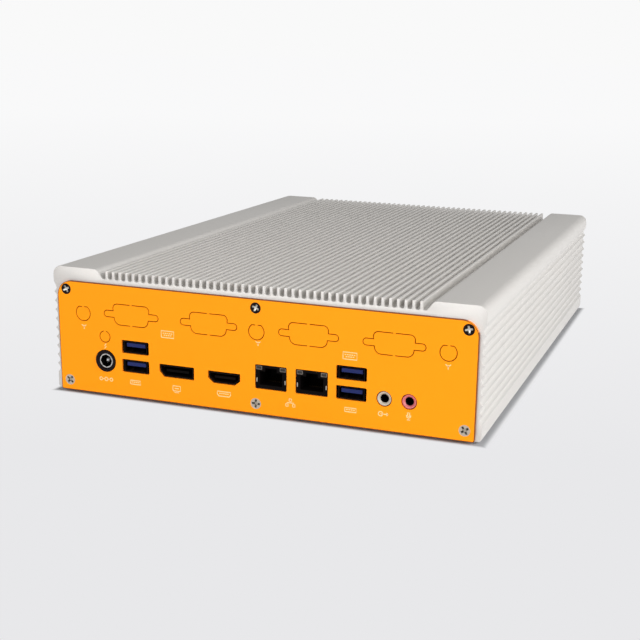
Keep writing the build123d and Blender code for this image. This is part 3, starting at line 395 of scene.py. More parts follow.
class Finishes(Enum):
    """Every finish on the computer."""

    # Extruded aluminium, sawn, blasted and clear-anodised: a pale silk with no mirror image
    CASE = AnodisedAluminium(
        "clear_anodised_aluminium", "#cdcac6", 0.5, 0.45, grain_mm=0.4, grain_depth_mm=0.008, variation=0.02
    )
    # Steel sheet with an orange powder coat: a strong even colour under a soft weak gloss
    PANEL = LacqueredSheet(
        "orange_lacquered_sheet", "#ff9700", 0.55, grain_depth_mm=0.015, variation=0.006, specular=0.15
    )
    # The same coat where it bridges the laser's cuts, thin, and dark brown as painted shade in the narrow cuts
    CUT_LACQUER_SHADE = Finish("bridged_cut_lacquer_painted_shade", "#6e2600", 0.7, grain_mm=0.6, variation=0.02, specular=0.0)
    # A brown line of painted shade along the panel's outline, for the gap between panel and housing
    EDGE_PAINTED_SHADE = Finish("painted_panel_gap_shade", "#8a4c1c", 0.6, grain_mm=0.6, variation=0.02, specular=0.1)
    # Steel sheet with a silver powder coat: grey with a slight sparkle of metal
    BACK_PANEL = LacqueredSheet(
        "silver_lacquered_sheet", "#c9c6c1", 0.45, 0.3, grain_depth_mm=0.02, variation=0.01,
        cut_colour="#8d8a86", rim_painted_shade_colour="#8d8a86",
    )
    # Rolled and zinc-plated sheet: cool grey metal, cloudy in patches
    TRAY = Finish("zinc_plated_sheet", "#b9bbbd", 0.38, 0.85, grain_mm=1.2, grain_depth_mm=0.008)
    # Blacked steel, rubbed bright by the driver: a near-black head round a ragged silver cross
    BLACK_SCREW = RecessWearAndShade(
        "blacked_steel_screw", "#0e0607", 0.42, 0.1, grain_depth_mm=0.03, recess_wear_and_shade_colour="#d2cfc6",
        specular=0.12,
    )
    # Nickel-plated steel: a pale ring round a cross in painted shade
    BRIGHT_SCREW = RecessWearAndShade(
        "nickel_plated_screw", "#b9b0a2", 0.34, 0.6, grain_depth_mm=0.02, recess_wear_and_shade_colour="#241f1d",
        recess_metallic=0.5,
    )
    # Moulded rubber: dull and almost black
    RUBBER = Finish("moulded_rubber_foot", "#1d1d1e", 0.75, grain_mm=0.8, grain_depth_mm=0.04)
    # Tin-plated steel deep in the sockets: its near-black warm colour is painted shade
    SOCKET_STEEL = Finish("tin_shell_painted_shade", "#120c0a", 0.4, 0.2, grain_mm=0.7, grain_depth_mm=0.006, specular=0.08)
    # Sprung stainless steel: small bright tabs
    SPRING_STEEL = Finish("sprung_steel_tab", "#b9b4ab", 0.3, 0.7, grain_mm=0.7, grain_depth_mm=0.006)
    # Nickel plate on turned brass: bright, nearly mirror-smooth
    BRIGHT_RING = Finish("nickel_plated_ring", "#cfd0d0", 0.26, 0.8, grain_depth_mm=0.006)
    # The power socket's contact sleeve: a bright rim round a bore in painted shade
    JACK_RING = PlatedFront("plated_contact_sleeve", "#c4c2be", 0.3, 0.7, grain_depth_mm=0.006)
    # Blue polymer, smooth from the mould: deep blue with a soft gloss
    TONGUE_BLUE = Finish("moulded_blue_tongue", "#10205c", 0.4, grain_mm=0.4, specular=0.25)
    # Black polymer with a fine spark texture: near-black, almost without gloss
    SOCKET_BLACK = Finish("moulded_black_socket", "#080505", 0.5, grain_depth_mm=0.015, specular=0.05, variation=0.01)
    # The same polymer for the flat video socket: near-black with a trace of brown
    SOCKET_GREY = Finish("moulded_grey_socket", "#0c0706", 0.5, grain_depth_mm=0.015, specular=0.05, variation=0.01)
    # The power socket's black polymer: near-black with a brown cast and a weak gloss
    JACK_BLACK = Finish("moulded_power_barrel", "#0f0508", 0.42, grain_depth_mm=0.015, specular=0.12, variation=0.02)
    # Phosphor bronze springs under a thin gold flash: dark brown metal, painted shade for their deep place in the
    # socket
    DARK_CONTACT = Finish("shaded_contact_spring", "#3a2c1a", 0.35, 0.9, grain_mm=0.3, grain_depth_mm=0.004)
    # Gold flash over nickel: warm yellow metal
    CONTACT = Finish("gold_flashed_contact", "#c9a35a", 0.3, 1.0, grain_mm=0.3, grain_depth_mm=0.004)
    # Clear polymer over a dark hole: an unlit lamp
    LIGHT_GUIDE = LitPlastic("smoked_light_guide", "#1c1815", 0.3, grain_mm=0.4)
    # Tin-plated steel round each lamp: a grey line
    LIGHT_FRAME = Finish("lamp_frame", "#7d766e", 0.4, 0.3, grain_mm=0.4, grain_depth_mm=0.008)
    # Frosted polymer with a lamp behind it: pale blue with a faint glow
    RING_LIGHT = LitPlastic("blue_light_ring", "#7fb4e8", 0.3, grain_mm=0.4, glow=0.6)
    # Cream polymer from a smooth mould: pale grey-cream with a soft gloss
    LINE_JACK = Finish("moulded_cream_jack", "#b7b0a1", 0.4, grain_mm=0.4)
    # Pink polymer from a smooth mould: dusty pink with a soft gloss
    MICROPHONE_JACK = Finish("moulded_pink_jack", "#c8696c", 0.4, grain_mm=0.4)
    # Screen-printed ink: flat cream
    PRINT = Finish("cream_screen_print", "#ffcf8e", 0.6, grain_mm=0.25, grain_depth_mm=0.004, variation=0.03)
    # Turned stainless steel: bright, with a fine grain
    SWITCH = Finish("turned_stainless_steel", "#c9cacb", 0.26, 1.0, grain_depth_mm=0.005)
    # Glass-filled laminate under solder mask: dark green satin
    BOARD = Finish("solder_mask_board", "#14452a", 0.4, grain_mm=0.8)
    # Turned brass: yellow metal
    BRASS = Finish("turned_brass", "#c8a35a", 0.3, 1.0, grain_depth_mm=0.006)
    # Moulded epoxy: dull black
    CHIP = Finish("moulded_chip", "#1b1b1c", 0.55, grain_mm=0.4)
    # Milled aluminium: bright, with a faint cutter grain
    BLOCK = Finish("milled_aluminium_block", "#cfd0d1", 0.34, 1.0, grain_mm=0.6, grain_depth_mm=0.008)
    # Filled silicone: soft matt grey
    PAD = Finish("silicone_pad", "#8b929a", 0.8, grain_mm=0.6, grain_depth_mm=0.02)


# Surfaces


def rounded_path(corners: np.ndarray, radii: np.ndarray, steps: int = 6) -> np.ndarray:
    """Rounds the corners of a closed outline.

    An arc of radius r touches both sides of its corner: it starts r * tan(turn / 2) before the
    corner, and point k stands where the first radius has turned by k / steps of the whole turn.

    Args:
        corners: n by 2 points in order.
        radii: n radii, 0 for a sharp corner.
        steps: spans in each arc.

    Returns:
        The outline's points in order.
    """
    come = corners - np.roll(corners, 1, axis=0)
    come = come / np.linalg.norm(come, axis=1, keepdims=True)
    leave = np.roll(come, -1, axis=0)
    cross = come[:, 0] * leave[:, 1] - come[:, 1] * leave[:, 0]
    turn = np.arctan2(cross, (come * leave).sum(1))
    reach = radii * np.abs(np.tan(turn / 2))
    inward = np.stack([-come[:, 1], come[:, 0]], 1) * np.sign(turn)[:, None]
    centre = corners - come * reach[:, None] + inward * radii[:, None]
    angle = turn[:, None] * np.linspace(0, 1, steps + 1)[None, :]
    arm = -inward * radii[:, None]
    turned_x = arm[:, 0, None] * np.cos(angle) - arm[:, 1, None] * np.sin(angle)
    turned_y = arm[:, 0, None] * np.sin(angle) + arm[:, 1, None] * np.cos(angle)
    points = centre[:, None, :] + np.stack([turned_x, turned_y], 2)
    keep = (radii[:, None] > 0) | (np.arange(steps + 1)[None, :] == 0)
    return points[keep]


def outward(outline: np.ndarray) -> np.ndarray:
    """Unit normals of a closed outline: its central-difference tangent, turned to point out of its area.

    Args:
        outline: n by 2 points in order.

    Returns:
        One normal for each point.
    """
    ahead = np.roll(outline, -1, axis=0) - np.roll(outline, 1, axis=0)
    ahead = ahead / np.maximum(np.linalg.norm(ahead, axis=1, keepdims=True), 1e-9)
    following = np.roll(outline, -1, axis=0)
    area = (outline[:, 0] * following[:, 1] - outline[:, 1] * following[:, 0]).sum() / 2
    return np.stack([ahead[:, 1], -ahead[:, 0]], 1) * np.sign(area)


def carried(outline: np.ndarray, stations: list[tuple[float, float]]) -> np.ndarray:
    """Carries a closed outline along the third axis.

    Ring j is the outline moved in along its own normals by the j-th inset, at the j-th height.

    Args:
        outline: n by 2 points.
        stations: (height, inset) for each ring.

    Returns:
        A grid of rings by n by 3 points: across, up, out.
    """
    heights, insets = np.array(stations).T
    flat = outline[None] - outward(outline)[None] * insets[:, None, None]
    return np.concatenate([flat, np.broadcast_to(heights[:, None, None], (*flat.shape[:2], 1))], 2)


def turned(profile: np.ndarray, count: int = 48) -> np.ndarray:
    """Turns a profile about the third axis: point (r, h) becomes (r cos t, r sin t, h) for t round the circle.

    Args:
        profile: m by 2 points, radius and height.
        count: points round the circle.

    Returns:
        A grid of m by count by 3 points.
    """
    angle = np.linspace(0, 2 * math.pi, count, endpoint=False)
    radius, height = profile.T
    return np.stack([
        radius[:, None] * np.cos(angle), radius[:, None] * np.sin(angle),
        np.broadcast_to(height[:, None], (len(height), count)),
    ], 2)


def box_outline(width: float, height: float, radius: float = 0.0, steps: int = 4) -> np.ndarray:
    """A rectangle about the origin, with its corners rounded."""
    corners = np.array([(-width, -height), (width, -height), (width, height), (-width, height)]) / 2
    return rounded_path(corners, np.full(4, radius), steps)


@dataclass(frozen=True)
class Seat:
    """A place on a face of the computer: where it is, what is across and up there, and which way is out."""

    origin: tuple[float, float, float]
    across: tuple[float, float, float] = (1, 0, 0)
    up: tuple[float, float, float] = (0, 0, 1)

    def set(self, points: np.ndarray) -> np.ndarray:
        """Turns points given as across, up and out into the case's frame."""
        axes = np.array([self.across, self.up, np.cross(self.across, self.up)], float)
        return np.array(self.origin, float) + points @ axes


@dataclass
class Piece:
    """Points and faces that become one object."""

    name: str
    points: list[np.ndarray] = field(default_factory=list)
    faces: list[list[int]] = field(default_factory=list)
    recess: list[np.ndarray] = field(default_factory=list)
    count: int = 0

    def grid(self, grid: np.ndarray, capped: bool = True, recess: np.ndarray | None = None) -> None:
        """Adds a grid of points as quads, whose last column joins its first.

        Args:
            grid: rows by columns by 3 points in the case's frame.
            capped: whether the first and last rows are filled.
            recess: a mark from 0 to 1 for each point.
        """
        rows, columns = grid.shape[:2]
        here = np.arange(rows * columns).reshape(rows, columns) + self.count
        beside = np.roll(here, -1, axis=1)
        self.faces += np.stack([here[:-1], beside[:-1], beside[1:], here[1:]], 2).reshape(-1, 4).tolist()
        if capped:
            self.faces += [here[0, ::-1].tolist(), here[-1].tolist()]
        self.points.append(grid.reshape(-1, 3))
        self.recess.append(np.zeros(rows * columns) if recess is None else recess.reshape(-1))
        self.count += rows * columns

    def build(self, finish: Finishes, slot: str, replaces: tuple[str, ...] = (), sharp: float = 32.0,
              marked: bool = False) -> None:
        """Makes the object, sets its finish and lets it ride on the case.

        Args:
            finish: what it is made of.
            slot: the record's material slot; not used.
            replaces: CAD nodes that it stands for.
            sharp: edges that turn by more degrees than this stay sharp.
            marked: whether the recess marks are kept as an attribute.
        """
        mesh = bpy.data.meshes.new(self.name)
        mesh.from_pydata((np.concatenate(self.points) * MM).tolist(), [], self.faces)
        if marked:
            mesh.attributes.new("recess", "FLOAT", "POINT").data.foreach_set("value", np.concatenate(self.recess))
        made = bpy.data.objects.new(self.name, mesh)
        bpy.context.scene.collection.objects.link(made)
        smooth_shell(mesh, sharp)
        mesh.materials.append(finish.value.material())
        if replaces:
            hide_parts(*replaces)
        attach(made, "case")
        log.info("%s: %d faces, finish %s", self.name, len(mesh.polygons), finish.value.name)


def smooth_shell(mesh: bpy.types.Mesh, sharp: float, merge_m: float = 1e-6) -> None:
    """Merges doubles, points the faces outwards and shades the mesh smooth but for its sharp edges.

    Args:
        mesh: the mesh, changed in place.
        sharp: degrees past which an edge stays sharp.
        merge_m: points closer than this, in metres, become one.
    """
    shell = bmesh.new()
    shell.from_mesh(mesh)
    bmesh.ops.remove_doubles(shell, verts=shell.verts, dist=merge_m)
    bmesh.ops.recalc_face_normals(shell, faces=shell.faces)
    shell.to_mesh(mesh)
    shell.free()
    mesh.shade_smooth()
    mesh.set_sharp_from_angle(angle=math.radians(sharp))


# The computer


@dataclass(frozen=True)
class Case:
    """The sizes that every piece is set out from."""

    width: float = 228.0
    height: float = 65.0
    depth: float = 305.0
    foot: float = 1.5
    front: float = -153.4
    panel: float = 1.5
    board_top: float = 13.0
    screw_x: float = 105.85
    screw_low: float = 5.2
    screw_high: float = 53.6

    @property
    def back(self) -> float:
        """Y of the housing's rear end."""
        return self.front + self.depth

    @property
    def face(self) -> float:
        """Y of the front panel's outer face."""
        return self.front - self.panel

    def on_panel(self, x: float, z: float, depth: float = 0.0) -> Seat:
        """A seat on the front panel, depth behind its face, z up from the housing's lower edge."""
        return Seat((x, self.face + depth, self.foot + z))

    def on_back(self, x: float, z: float) -> Seat:
        """A seat on the rear panel as seen from behind, where across runs towards -X."""
        return Seat((-x, self.back + self.panel, self.foot + z), (-1, 0, 0), (0, 0, 1))

    def underneath(self, x: float, y: float) -> Seat:
        """A seat on the tray's underside."""
        return Seat((x, y, self.foot), (1, 0, 0), (0, -1, 0))


@dataclass
class FinnedHousing:
    """The extrusion: fins between two shoulders, overhanging brows, ridged sides, ledges and screw ports."""

    case: Case
    fins: int = 45
    pitch: float = 3.76
    thickness: float = 1.5
    fin_drop: float = 0.5
    fin_height: float = 4.3
    root_radius: float = 0.9
    tip_radius: float = 0.32
    shoulder_gap: float = 1.7
    shoulder_run: float = 3.6
    shoulder_roots: tuple[float, float] = (0.7, 0.9)
    shoulder_radius: float = 3.0
    brow_radius: float = 4.5
    brow_height: float = 8.0
    lip_radius: float = 1.2
    side_x: float = 113.8
    ridge_pitch: float = 4.8
    ridge_land: float = 0.6
    groove_depth: float = 1.3
    grooves: int = 10
    groove_steps: int = 20
    top_groove: float = 53.7
    crest_softness: float = 0.05
    lower_radius: float = 1.5
    wall: float = 4.1
    top_wall: float = 5.0
    ledge: tuple[float, float, float] = (12.2, 1.5, 5.1)
    port_radius: float = 3.6
    port_steps: int = 14
    port_turn: float = 30.0
    middle_turn: float = 84.0
    edge_break: float = 0.28
    edge_share: float = 0.3
    arc_steps: int = 5

    def side(self) -> np.ndarray:
        """The ridged side from the top groove's middle down.

        A groove is part of a circle whose chord is the pitch less the land. At a distance t from its
        middle it is sqrt(r^2 - t^2) - (r - depth) deep, and d becomes (d + sqrt(d^2 + 4 e^2)) / 2, so
        that it meets the ridge's land in a soft edge.

        Returns:
            Points (x, z).
        """
        chord = self.ridge_pitch - self.ridge_land
        radius = (chord**2 / 4 + self.groove_depth**2) / (2 * self.groove_depth)
        lowest = self.top_groove - (self.grooves - 0.5) * self.ridge_pitch
        height = np.linspace(self.top_groove, lowest, self.grooves * self.groove_steps)
        offset = (height - self.top_groove) / self.ridge_pitch
        away = np.abs(offset - np.round(offset)) * self.ridge_pitch
        deep = np.sqrt(np.maximum(radius**2 - away**2, 0)) - (radius - self.groove_depth)
        inset = (deep + np.sqrt(deep**2 + 4 * self.crest_softness**2)) / 2
        return np.stack([self.side_x - inset, height], 1)

    def port(self, centre: tuple[float, float], start: float, end: float) -> np.ndarray:
        """Part of a screw port's round wall, from one angle to another in degrees: centre + r (cos, sin)."""
        angle = np.radians(np.linspace(start, end, self.port_steps))
        return np.array(centre) + self.port_radius * np.stack([np.cos(angle), np.sin(angle)], 1)

    def hollow(self) -> np.ndarray:
        """The inner wall's right half: the ledge, the two ports in its corners and half the middle port.

        The middle port ends short of a quarter circle, so that the mirrored outline has no edge without length.

        Returns:
            Points (x, z) from the lower edge to the middle port's underside.
        """
        inner = self.side_x - self.wall
        width, low, high = self.ledge
        ceiling = self.case.height - self.fin_drop - self.fin_height - self.top_wall
        right, foot, head = self.case.screw_x, self.case.screw_low, self.case.screw_high
        tip = math.degrees(math.asin((ceiling - head) / self.port_radius))
        return np.concatenate([
            [(inner, 0), (inner, low), (inner - width, low), (inner - width, high)],
            self.port((right, foot), 180 + math.degrees((foot - high) / self.port_radius), self.port_turn),
            [(inner, foot + self.port_radius / 2), (inner, head - self.port_radius / 2)],
            self.port((right, head), -self.port_turn, -180 - tip),
            self.port((0, head), tip, -self.middle_turn),
        ])

    def outline(self) -> np.ndarray:
        """The whole section: the right half's fins, shoulder, side and hollow, then the same mirrored.

        Returns:
            A closed outline of (x, z) points.
        """
        high = self.case.height
        top, floor = high - self.fin_drop, high - self.fin_drop - self.fin_height
        order = np.arange((self.fins - 1) // 2)
        right = order * self.pitch + self.thickness / 2
        left = (order + 1) * self.pitch - self.thickness / 2
        fin_x = np.stack([right, right, left, left], 1).reshape(-1)
        fin_z = np.tile([top, floor, floor, top], len(order))
        fin_r = np.tile([self.tip_radius, self.root_radius, self.root_radius, self.tip_radius], len(order))
        last = (self.fins - 1) / 2 * self.pitch + self.thickness / 2
        foot = last + self.shoulder_gap
        half = self.case.width / 2
        shoulder = np.array([
            (last, top, self.tip_radius), *zip((last, foot), (floor, floor), self.shoulder_roots),
            (foot + self.shoulder_run, high, self.shoulder_radius), (half, high, self.brow_radius),
            (half, high - self.brow_height, self.lip_radius),
        ])
        lower = np.array([(self.side_x, 0, self.lower_radius)])
        upper = np.column_stack([fin_x, fin_z, fin_r])
        side, hollow = self.side(), self.hollow()
        half_outline = np.concatenate([
            upper, shoulder, np.column_stack([side, np.zeros(len(side))]), lower,
            np.column_stack([hollow, np.zeros(len(hollow))]),
        ])
        mirrored = half_outline[::-1] * np.array([-1, 1, 1])
        whole = np.concatenate([half_outline, mirrored])
        return rounded_path(whole[:, :2], whole[:, 2], self.arc_steps)

    def build(self) -> None:
        """Carries the section from front to back with a broken edge at each sawn end."""
        e, case = self.edge_break, self.case
        slight = self.edge_share * e
        stations = [
            (0, e), (slight, slight), (e, 0), (case.depth - e, 0), (case.depth - slight, slight), (case.depth, e)
        ]
        rings = carried(self.outline(), stations)
        seat = Seat((0, case.back, case.foot))
        piece = Piece("finned_housing")
        piece.grid(seat.set(rings))
        piece.build(Finishes.CASE, "anodised_aluminium", replaces=("housing",), sharp=30)


@dataclass(frozen=True)
class Cross:
    """How a driver's cross shows: its reach and half width as shares of the head, and the recess marks of its arms
    and middle: rubbed bright on a blacked head, painted shade on a bright one.
    """

    finish: Finishes
    reach: float
    half_width: float
    arm_mark: float
    centre_mark: float


class Recess(Enum):
    """A blacked head with a small ragged cross rubbed bright, or a bright one with a cross in painted shade."""

    BLACK = Cross(Finishes.BLACK_SCREW, 0.64, 0.2, 1.0, 1.0)
    BRIGHT = Cross(Finishes.BRIGHT_SCREW, 0.76, 0.2, 1.0, 0.25)


@dataclass
class ScrewSet:
    """Countersunk cross-recess screws of one set, each turned another way."""

    name: str
    node: str
    slot: str
    seats: list[Seat]
    look: Recess
    length: float = 5.2
    first_turn: float = 12.0
    next_turn: float = 37.0
    head: float = 2.8
    shank: float = 1.45
    sunk: float = 0.05
    crown: float = 0.05
    rim_drop: float = 0.14
    point: float = 0.3
    depth: float = 0.9
    bowl: float = 0.55
    arm_taper: float = 0.04
    side_fall: float = 0.16
    end_fall: float = 0.3
    middle_share: float = 0.3
    middle_fall: float = 0.25
    rings: int = 26
    ring_shares: tuple[float, float] = (0.02, 0.9)
    rim_shares: tuple[float, float] = (0.95, 0.985)
    count: int = 96

    def bar(self, along: np.ndarray, beside: np.ndarray) -> np.ndarray:
        """One bar of the cross.

        It is 1 within its half width, which narrows outwards, falls smoothly to 0 at its sides, and
        falls evenly at its ends.

        Args:
            along: distance from the middle along the bar.
            beside: distance from the bar's middle line.

        Returns:
            The shape, from 0 to 1.
        """
        cross = self.look.value
        reach = cross.reach * self.head
        half = (cross.half_width - self.arm_taper * np.abs(along) / reach) * self.head
        side = np.clip((half - np.abs(beside)) / self.side_fall + 0.5, 0, 1)
        end = np.clip((reach - np.abs(along)) / self.end_fall + 0.5, 0, 1)
        return side * side * (3 - 2 * side) * end

    def head_grid(self, turn: float) -> tuple[np.ndarray, np.ndarray]:
        """One screw's surface.

        The face is a disc of rings with a small crown. The cross is the larger of two bars and a round
        middle. The recess is that shape times a depth that shrinks with the square of the radius, and
        the recess mark, rubbed metal on a blacked head and painted shade on a bright one, is the shape
        times the arm's mark, or the centre's mark in the middle.

        Args:
            turn: the cross's angle in degrees.

        Returns:
            The grid, and each point's recess mark.
        """
        cross = self.look.value
        rings = np.concatenate([np.linspace(*self.ring_shares, self.rings), self.rim_shares]) * self.head
        angle = np.linspace(0, 2 * math.pi, self.count, endpoint=False)
        radius = rings[:, None] * np.ones(self.count)
        u, v = radius * np.cos(angle), radius * np.sin(angle)
        c, s = math.cos(math.radians(turn)), math.sin(math.radians(turn))
        a, b = c * u + s * v, -s * u + c * v
        middle = np.clip((self.middle_share * self.head - radius) / self.middle_fall + 0.5, 0, 1)
        shape = np.maximum(np.maximum(self.bar(a, b), self.bar(b, a)), middle)
        mark = shape * (cross.arm_mark * (1 - middle) + cross.centre_mark * middle)
        hollow = shape * self.depth * (1 - self.bowl * (radius / (cross.reach * self.head)) ** 2)
        height = -self.crown * (radius / self.head) ** 2 - hollow - self.sunk
        rim = turned(np.array([
            (self.head, -self.rim_drop), (self.shank, self.shank - self.head),
            (self.shank, self.point - self.length), (self.shank - self.point, -self.length),
        ]) - [0, self.sunk], self.count)
        grid = np.concatenate([np.stack([u, v, height], 2), rim])
        return grid, np.concatenate([mark, np.zeros(rim.shape[:2])])

    def build(self) -> None:
        """Sets one screw in each seat and joins the set."""
        piece = Piece(self.name)
        for order, seat in enumerate(self.seats):
            grid, marks = self.head_grid(self.first_turn + self.next_turn * order)
            piece.grid(seat.set(grid), recess=marks)
        piece.build(self.look.value.finish, self.slot, replaces=(self.node,), sharp=40, marked=True)


@dataclass
class DomedFeet:
    """Four rubber feet, each with a rounded lower edge."""

    case: Case
    x: float = 92.0
    inset: float = 26.0
    profile: tuple[tuple[float, float], ...] = (
        (6.0, 0.0), (5.9, 0.7), (5.6, 1.2), (5.1, 1.46), (4.6, 1.5), (0.4, 1.5),
    )
    count: int = 64

    def build(self) -> None:
        """Turns the profile, radius and depth, under each corner of the tray."""
        piece = Piece("domed_feet")
        for x in (-self.x, self.x):
            for y in (self.case.front + self.inset, self.case.back - self.inset):
                piece.grid(self.case.underneath(x, y).set(turned(np.array(self.profile), self.count)))
        piece.build(Finishes.RUBBER, "rubber", replaces=("rubber_feet",))


@dataclass
class PrintedMarks:
    """Small plain pictograms printed beside the sockets, drawn as flat strokes on the panel."""

    case: Case
    stroke: float = 0.46
    film: float = 0.02
    circle_points: int = 17
    marks: dict[str, tuple[float, float]] = field(default_factory=lambda: {
        "mast_left": (-96.0, 34.6), "mast_middle": (1.4, 36.0), "mast_right": (96.9, 35.1),
        "serial_left": (-48.0, 35.4), "serial_right": (48.9, 35.0), "spark": (-83.9, 25.6),
        "polarity": (-84.1, 8.0), "data_left": (-67.0, 8.1), "data_right": (49.6, 8.2),
        "screen_left": (-43.5, 7.3), "flat_middle": (-17.2, 8.0), "network": (18.5, 7.9),
        "line": (66.2, 8.3), "microphone": (78.7, 8.8),
    })

    def strokes(self, name: str) -> list[np.ndarray]:
        """The strokes of one pictogram about its own middle, in millimetres.

        Args:
            name: the mark's name, whose first word is the pictogram's.

        Returns:
            Lines of (across, up) points.
        """
        kind = name.split("_")[0]
        ring = np.linspace(0, 2 * math.pi, self.circle_points)
        circle = np.stack([np.cos(ring), np.sin(ring)], 1)
        box = np.array([(-1, -1), (1, -1), (1, 1), (-1, 1), (-1, -1)], float)
        cut_box = np.array([(-0.8, -1), (0.8, -1), (1, -0.2), (1, 1), (-1, 1), (-1, -0.2), (-0.8, -1)], float)
        dash = np.array([(-0.5, 0), (0.5, 0)], float)
        drawn = {
            "mast": [[(0, -1.2), (0, 0.9)], [(-1.3, 1.1), (0, 0.1), (1.3, 1.1)]],
            "serial": [box * (3.5, 1.7), *[dash * 0.8 + (x, 0.5) for x in (-2.3, -1.15, 0, 1.15, 2.3)],
                       *[dash * 0.8 + (x, -0.5) for x in (-1.7, -0.55, 0.6, 1.75)]],
            "polarity": [circle * 0.8 + (-3.0, 0), [(-2.2, 0), (-1.0, 0)], circle * 0.9, [(1.0, 0), (2.2, 0)],
                         circle * 0.8 + (3.0, 0)],
            "spark": [[(0.5, 1.3), (-0.5, 0.1), (0.5, -0.1), (-0.5, -1.3)]],
            "data": [box * (2.9, 1.0), *[dash * 0.9 + (x, 0.1) for x in (-1.8, -0.6, 0.6, 1.8)]],
            "screen": [box * (2.1, 1.3) + (0, 0.4), [(-1.2, -1.7), (1.2, -1.7)], [(0, -1.7), (0, -0.9)],
                       dash * 2.4 + (0, 0.4)],
            "flat": [cut_box * (3.6, 1.2), *[dash * 0.8 + (x, 0.15) for x in (-2.2, -1.1, 0, 1.1, 2.2)]],
            "network": [box * 0.6 + (0, 1.4), box * 0.6 + (-1.8, -1.3), box * 0.6 + (1.8, -1.3),
                        [(0, 0.8), (0, 0)], [(-1.8, -0.7), (-1.8, 0), (1.8, 0), (1.8, -0.7)]],
            "line": [circle * 1.1 + (-1.4, 0), [(-1.4, 0), (2.4, 0)], [(1.6, 0.7), (2.4, 0), (1.6, -0.7)]],
            "microphone": [box * (0.5, 0.9) + (0, 0.8),
                           [(-1.1, 0.5), (-0.9, -0.5), (0, -0.9), (0.9, -0.5), (1.1, 0.5)],
                           [(0, -0.9), (0, -1.8)], [(-0.8, -1.8), (0.8, -1.8)]],
        }
        return [np.array(line, float) for line in drawn[kind]]

    def ribbon(self, line: np.ndarray) -> np.ndarray:
        """A stroke's flat ribbon: each point moved half the stroke's width both ways across its direction.

        Args:
            line: n by 2 points.

        Returns:
            A grid of n by 4 by 3 points: the ribbon's section carried along the line.
        """
        ahead = np.gradient(line, axis=0)
        ahead = ahead / np.maximum(np.linalg.norm(ahead, axis=1, keepdims=True), 1e-9)
        beside = np.stack([-ahead[:, 1], ahead[:, 0]], 1) * self.stroke / 2
        section = [(line + beside, 0), (line - beside, 0), (line - beside, self.film), (line + beside, self.film)]
        return np.stack([np.column_stack([flat, np.full(len(flat), h)]) for flat, h in section], 1)

    def build(self) -> None:
        """Prints every mark as one thin film on the panel's face."""
        piece = Piece("printed_marks")
        for name, (x, z) in self.marks.items():
            for line in self.strokes(name):
                piece.grid(self.case.on_panel(x, z).set(self.ribbon(line)))
        piece.build(Finishes.PRINT, "plain_sheet", sharp=30)


@dataclass
class KnockoutCuts:
    """The lacquer that bridges the laser's narrow cuts a little below the panel's face, dark brown as painted shade
    in the cuts.
    """

    case: Case
    serial_x: tuple[float, ...] = (-68.5, -25.3, 27.6, 70.6)
    serial_z: float = 42.95
    antenna_x: tuple[float, ...] = (-96.2, 0.5, 96.8)
    antenna_z: float = 41.85
    antenna_radius: float = 4.1
    antenna_flat: float = 3.3
    spare: tuple[float, float] = (-83.95, 30.6)
    spare_radius: float = 2.95
    half: float = 0.4
    depth: float = 0.38
    film: float = 0.12
    arc_steps: int = 8
    circle_points: int = 72

    def serial(self) -> np.ndarray:
        """The connector's outline: a body that narrows downwards, with an ear at each side.

        Returns:
            A closed outline about the connector's middle.
        """
        right = np.array([
            (10.55, 5.4, 2.4), (10.12, 1.7, 0), (15.4, 1.7, 1.69), (15.4, -1.7, 1.69), (9.73, -1.7, 0),
            (9.3, -5.4, 3.3),
        ])
        whole = np.concatenate([right, right[::-1] * (-1, 1, 1)])
        return rounded_path(whole[:, :2], whole[:, 2], self.arc_steps)

    def round_place(self, radius: float, flat: float) -> np.ndarray:
        """A circle with its top cut off level.

        Args:
            radius: the circle's radius.
            flat: the height of its level top.

        Returns:
            A closed outline about the circle's middle.
        """
        angle = np.linspace(0, 2 * math.pi, self.circle_points, endpoint=False)
        circle = radius * np.stack([np.cos(angle), np.sin(angle)], 1)
        return np.minimum(circle, [radius, flat])

    def build(self) -> None:
        """Lays one closed ring of film in each cut."""
        piece = Piece("bridged_cuts_painted_shade")
        h, d, t = self.half, -self.depth, self.film
        around = [(d, -h), (d, h), (d - t, h), (d - t, -h), (d, -h)]
        antenna = self.round_place(self.antenna_radius, self.antenna_flat)
        spare = self.round_place(self.spare_radius, self.spare_radius)
        places = [(self.serial(), x, self.serial_z) for x in self.serial_x]
        places += [(antenna, x, self.antenna_z) for x in self.antenna_x]
        places.append((spare, *self.spare))
        for outline, x, z in places:
            piece.grid(self.case.on_panel(x, z).set(carried(outline, around)), capped=False)
        # The film's dark brown is painted shade in the cuts
        piece.build(Finishes.CUT_LACQUER_SHADE, "orange_panel", sharp=50)


@dataclass
class PanelEdge:
    """A brown line of painted shade along the panel's outline, on its face, for the gap between panel and housing."""

    case: Case
    half: float = 110.8
    height: float = 58.0
    lower_radius: float = 1.0
    upper_radius: float = 8.0
    width: float = 0.34
    film: float = 0.02
    arc_steps: int = 12

    def build(self) -> None:
        """Carries a flat ring round the panel's outline, on its face."""
        corners = np.array([(-self.half, 0), (self.half, 0), (self.half, self.height), (-self.half, self.height)])
        radii = np.array([self.lower_radius, self.lower_radius, self.upper_radius, self.upper_radius])
        around = [(0, 0), (self.film, 0), (self.film, self.width), (0, self.width), (0, 0)]
        piece = Piece("panel_gap_shade_line")
        line = carried(rounded_path(corners, radii, self.arc_steps), around)
        piece.grid(self.case.on_panel(0, 0).set(line), capped=False)
        piece.build(Finishes.EDGE_PAINTED_SHADE, "orange_panel", sharp=50)


